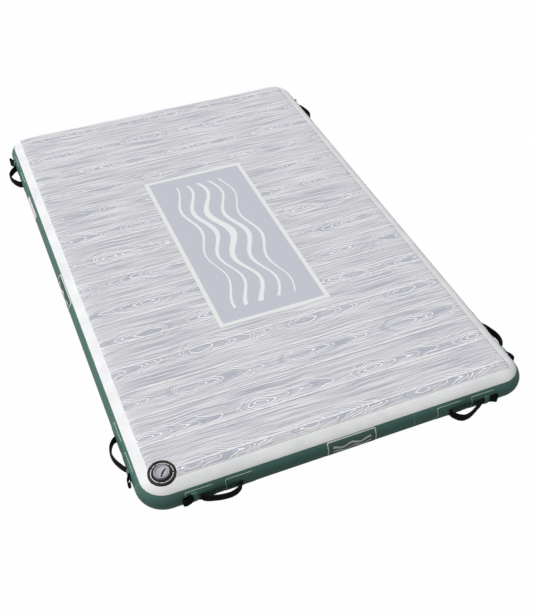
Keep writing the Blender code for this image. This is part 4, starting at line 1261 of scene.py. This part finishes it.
def build_cap():
    """Cap with a sunken dish. A deep curved slot parts the dish from a raised land, which is the grip. A
    black block in the slot below the dish's floor is painted shade.
    """
    under = FIT + FLANGE_PLATE + FIT
    top = under + CAP_HEIGHT
    floor = top - CAP_DISH_DEPTH
    bore = CAP_SKIRT_RADIUS - CAP_SKIRT_WALL
    outline = [(0, under), (bore, under), (bore, -CAP_SKIRT_DEPTH), (CAP_SKIRT_RADIUS, -CAP_SKIRT_DEPTH),
               (CAP_SKIRT_RADIUS, under), (CAP_RADIUS, under), (CAP_RADIUS, top - CAP_CHAMFER),
               (CAP_RADIUS - CAP_CHAMFER, top)]
    outline += [(radius, top + rise) for radius, rise in CAP_RIM_PROFILE]
    outline += [(radius, floor + rise) for radius, rise in CAP_DISH_PROFILE]
    dish = bevelled(turned_mesh("dish", outline), 0.0005)
    ends = math.acos(CAP_SLOT_OFFSET / CAP_DISH_RADIUS)
    half = CAP_DISH_RADIUS * math.sin(ends)

    def bow(share, offset):
        return share * half, -CAP_SLOT_OFFSET + offset + CAP_SLOT_BOW * (1 - share * share)

    def crescent(end, fit):
        shares = np.linspace(-end * CAP_SLOT_MORE, end, CAP_SLOT_STEPS + 1)
        far = [bow(share, CAP_SLOT_WIDTH * (1 - CAP_SLOT_TAPER * share ** 2) - fit) for share in shares]
        return [bow(share, CAP_SLOT_LIP + fit) for share in shares] + far[::-1]

    land = [(CAP_DISH_RADIUS * math.sin(a), -CAP_DISH_RADIUS * math.cos(a))
            for a in np.linspace(ends, -ends, CAP_SLOT_STEPS + 1)]
    land += [bow(share, 0.0) for share in np.linspace(-1, 1, CAP_SLOT_STEPS + 1)[1:-1]]
    land = bevelled(prism("land", land, floor - CAP_LAND_FOOT, top - CAP_LAND_SUNK), 0.0007)
    slot = prism("slot", crescent(CAP_SLOT_END, 0.0), under + CAP_WEB, top + 0.002)
    dish = boolean_mesh("dish", dish, [("UNION", land), ("DIFFERENCE", slot)])
    # painted shade: a black block fills the slot below the dish's floor, so the slot looks dark
    slot_shade = crescent(CAP_SLOT_SHADE_END, CAP_SLOT_SHADE_FIT)
    slot_shade = prism("slot_shade", slot_shade, under + CAP_WEB, floor - CAP_SLOT_SHADE_SUNK)
    add_valve_piece("valve_cap_moulding", dish, "grey_plastic", ["valve_cap"], 35, CAP_TURN, body="valve_cap")
    add_valve_piece("valve_cap_slot_painted_shade", slot_shade, "black_rubber", (), 35, CAP_TURN, body="valve_cap")


def build_spring():
    """Coil spring under the poppet."""
    mesh = frame["nodes"]["valve_spring"].data.copy()
    heights = [(VALVE.inverted() @ v.co).z for v in mesh.vertices]
    low, high = min(heights), max(heights)
    piece = add_piece("valve_spring_coil", mesh, "steel", ["valve_spring"], 60)
    VALVE.to_3x3() @ Vector((0, 0, 1))
    VALVE @ Vector((0, 0, low))
    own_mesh(piece)


# Nodes that stay as they are, all of them inside the chamber or the valve, and their materials
CARRIED_OVER = {
    "drop_stitch_core": "thread",
    "top_seam_tape": "white_sheet",
    "bottom_seam_tape": "grey_sheet",
    "valve_nut": "grey_plastic",
    "valve_poppet": "grey_plastic",
    "poppet_seal": "black_rubber",
    "cap_seal": "black_rubber",
}


def dress_carried_over():
    for node, material in CARRIED_OVER.items():
        materials = frame["nodes"][node].data.materials
        materials.clear()
        materials.append(MATERIALS[material])


# Stage


WORLD_FILL = 0.13
FLOOR_GLOW = 0.985
FLOOR_COLOUR = (0.54, 0.54, 0.55)
FLOOR_REACH = 30.0
FLOOR_HEIGHT = -0.0008
# name, direction towards the lamp, strength, apparent size in degrees
LAMPS = [
    ("key_lamp", (-0.44, 0.42, 1.0), 3.12, 40),
    ("front_lamp", (-0.30, -0.60, 0.74), 0.05, 60),
]
CAMERA_PLACE = (-1.2426, -3.5342, 3.167)
CAMERA_FORWARD = Vector((0.2758191, 0.67380209, -0.68550315))
CAMERA_RIGHT = Vector((0.92481807, -0.38040543, -0.00180231))
CAMERA_LENS = 53.12


def build_camera():
    camera = linked("camera", bpy.data.cameras.new("camera"))
    camera.data.lens = CAMERA_LENS
    camera.data.sensor_width = 36.0
    camera.data.clip_start = 0.05
    camera.data.clip_end = 100.0
    camera.location = CAMERA_PLACE
    up = CAMERA_RIGHT.cross(CAMERA_FORWARD)
    camera.rotation_euler = Matrix((CAMERA_RIGHT, up, -CAMERA_FORWARD)).transposed().to_euler()
    bpy.context.scene.camera = camera


def build_world():
    """White to the camera, and in gloss and glass, but dim as light."""
    world = bpy.data.worlds.new("studio")
    bpy.context.scene.world = world
    g = Graph(world)
    seen = g.node("LightPath", output="Is Camera Ray")
    for ray in ("Is Glossy Ray", "Is Transmission Ray"):
        seen = g.math("MAXIMUM", seen, g.node("LightPath", output=ray))
    background = g.tree.nodes["Background"].inputs
    g.feed(background["Color"], (1, 1, 1))
    g.feed(background["Strength"], g.node("MapRange", {"Value": seen, "To Min": WORLD_FILL, "To Max": 1.0}))


def build_lamps():
    for name, direction, power, spread in LAMPS:
        lamp = linked(name, bpy.data.lights.new(name, "SUN"))
        lamp.data.energy = power
        lamp.data.angle = math.radians(spread)
        lamp.rotation_euler = Vector(direction).to_track_quat("Z", "Y").to_euler()


def build_floor():
    """Floor that looks white to the camera, apart from the shadow on it."""
    r, z = FLOOR_REACH, FLOOR_HEIGHT
    corners = [(-r, -r, z), (r, -r, z), (r, r, z), (-r, r, z)]
    floor = linked("floor", made_mesh("floor", corners, [(0, 1, 2, 3)]))
    material = bpy.data.materials.new("studio_floor")
    g = Graph(material)
    g.tree.nodes.clear()
    glow = g.node("Emission", {"Color": (1, 1, 1)})
    share = g.node("LightPath", output="Is Camera Ray") * FLOOR_GLOW
    mix = g.node("MixShader", {0: share, 1: g.node("BsdfDiffuse", {"Color": FLOOR_COLOUR}), 2: glow})
    output = g.tree.nodes.new("ShaderNodeOutputMaterial")
    g.feed(output.inputs["Surface"], mix)
    floor.data.materials.append(material)


bpy.context.scene.view_settings.view_transform = "Standard"
build_camera()
build_world()
build_lamps()
build_floor()
build_chamber()
build_deck_pad()
build_side_fittings()
build_surround()
build_valve_body()
build_cap()
build_spring()
dress_carried_over()
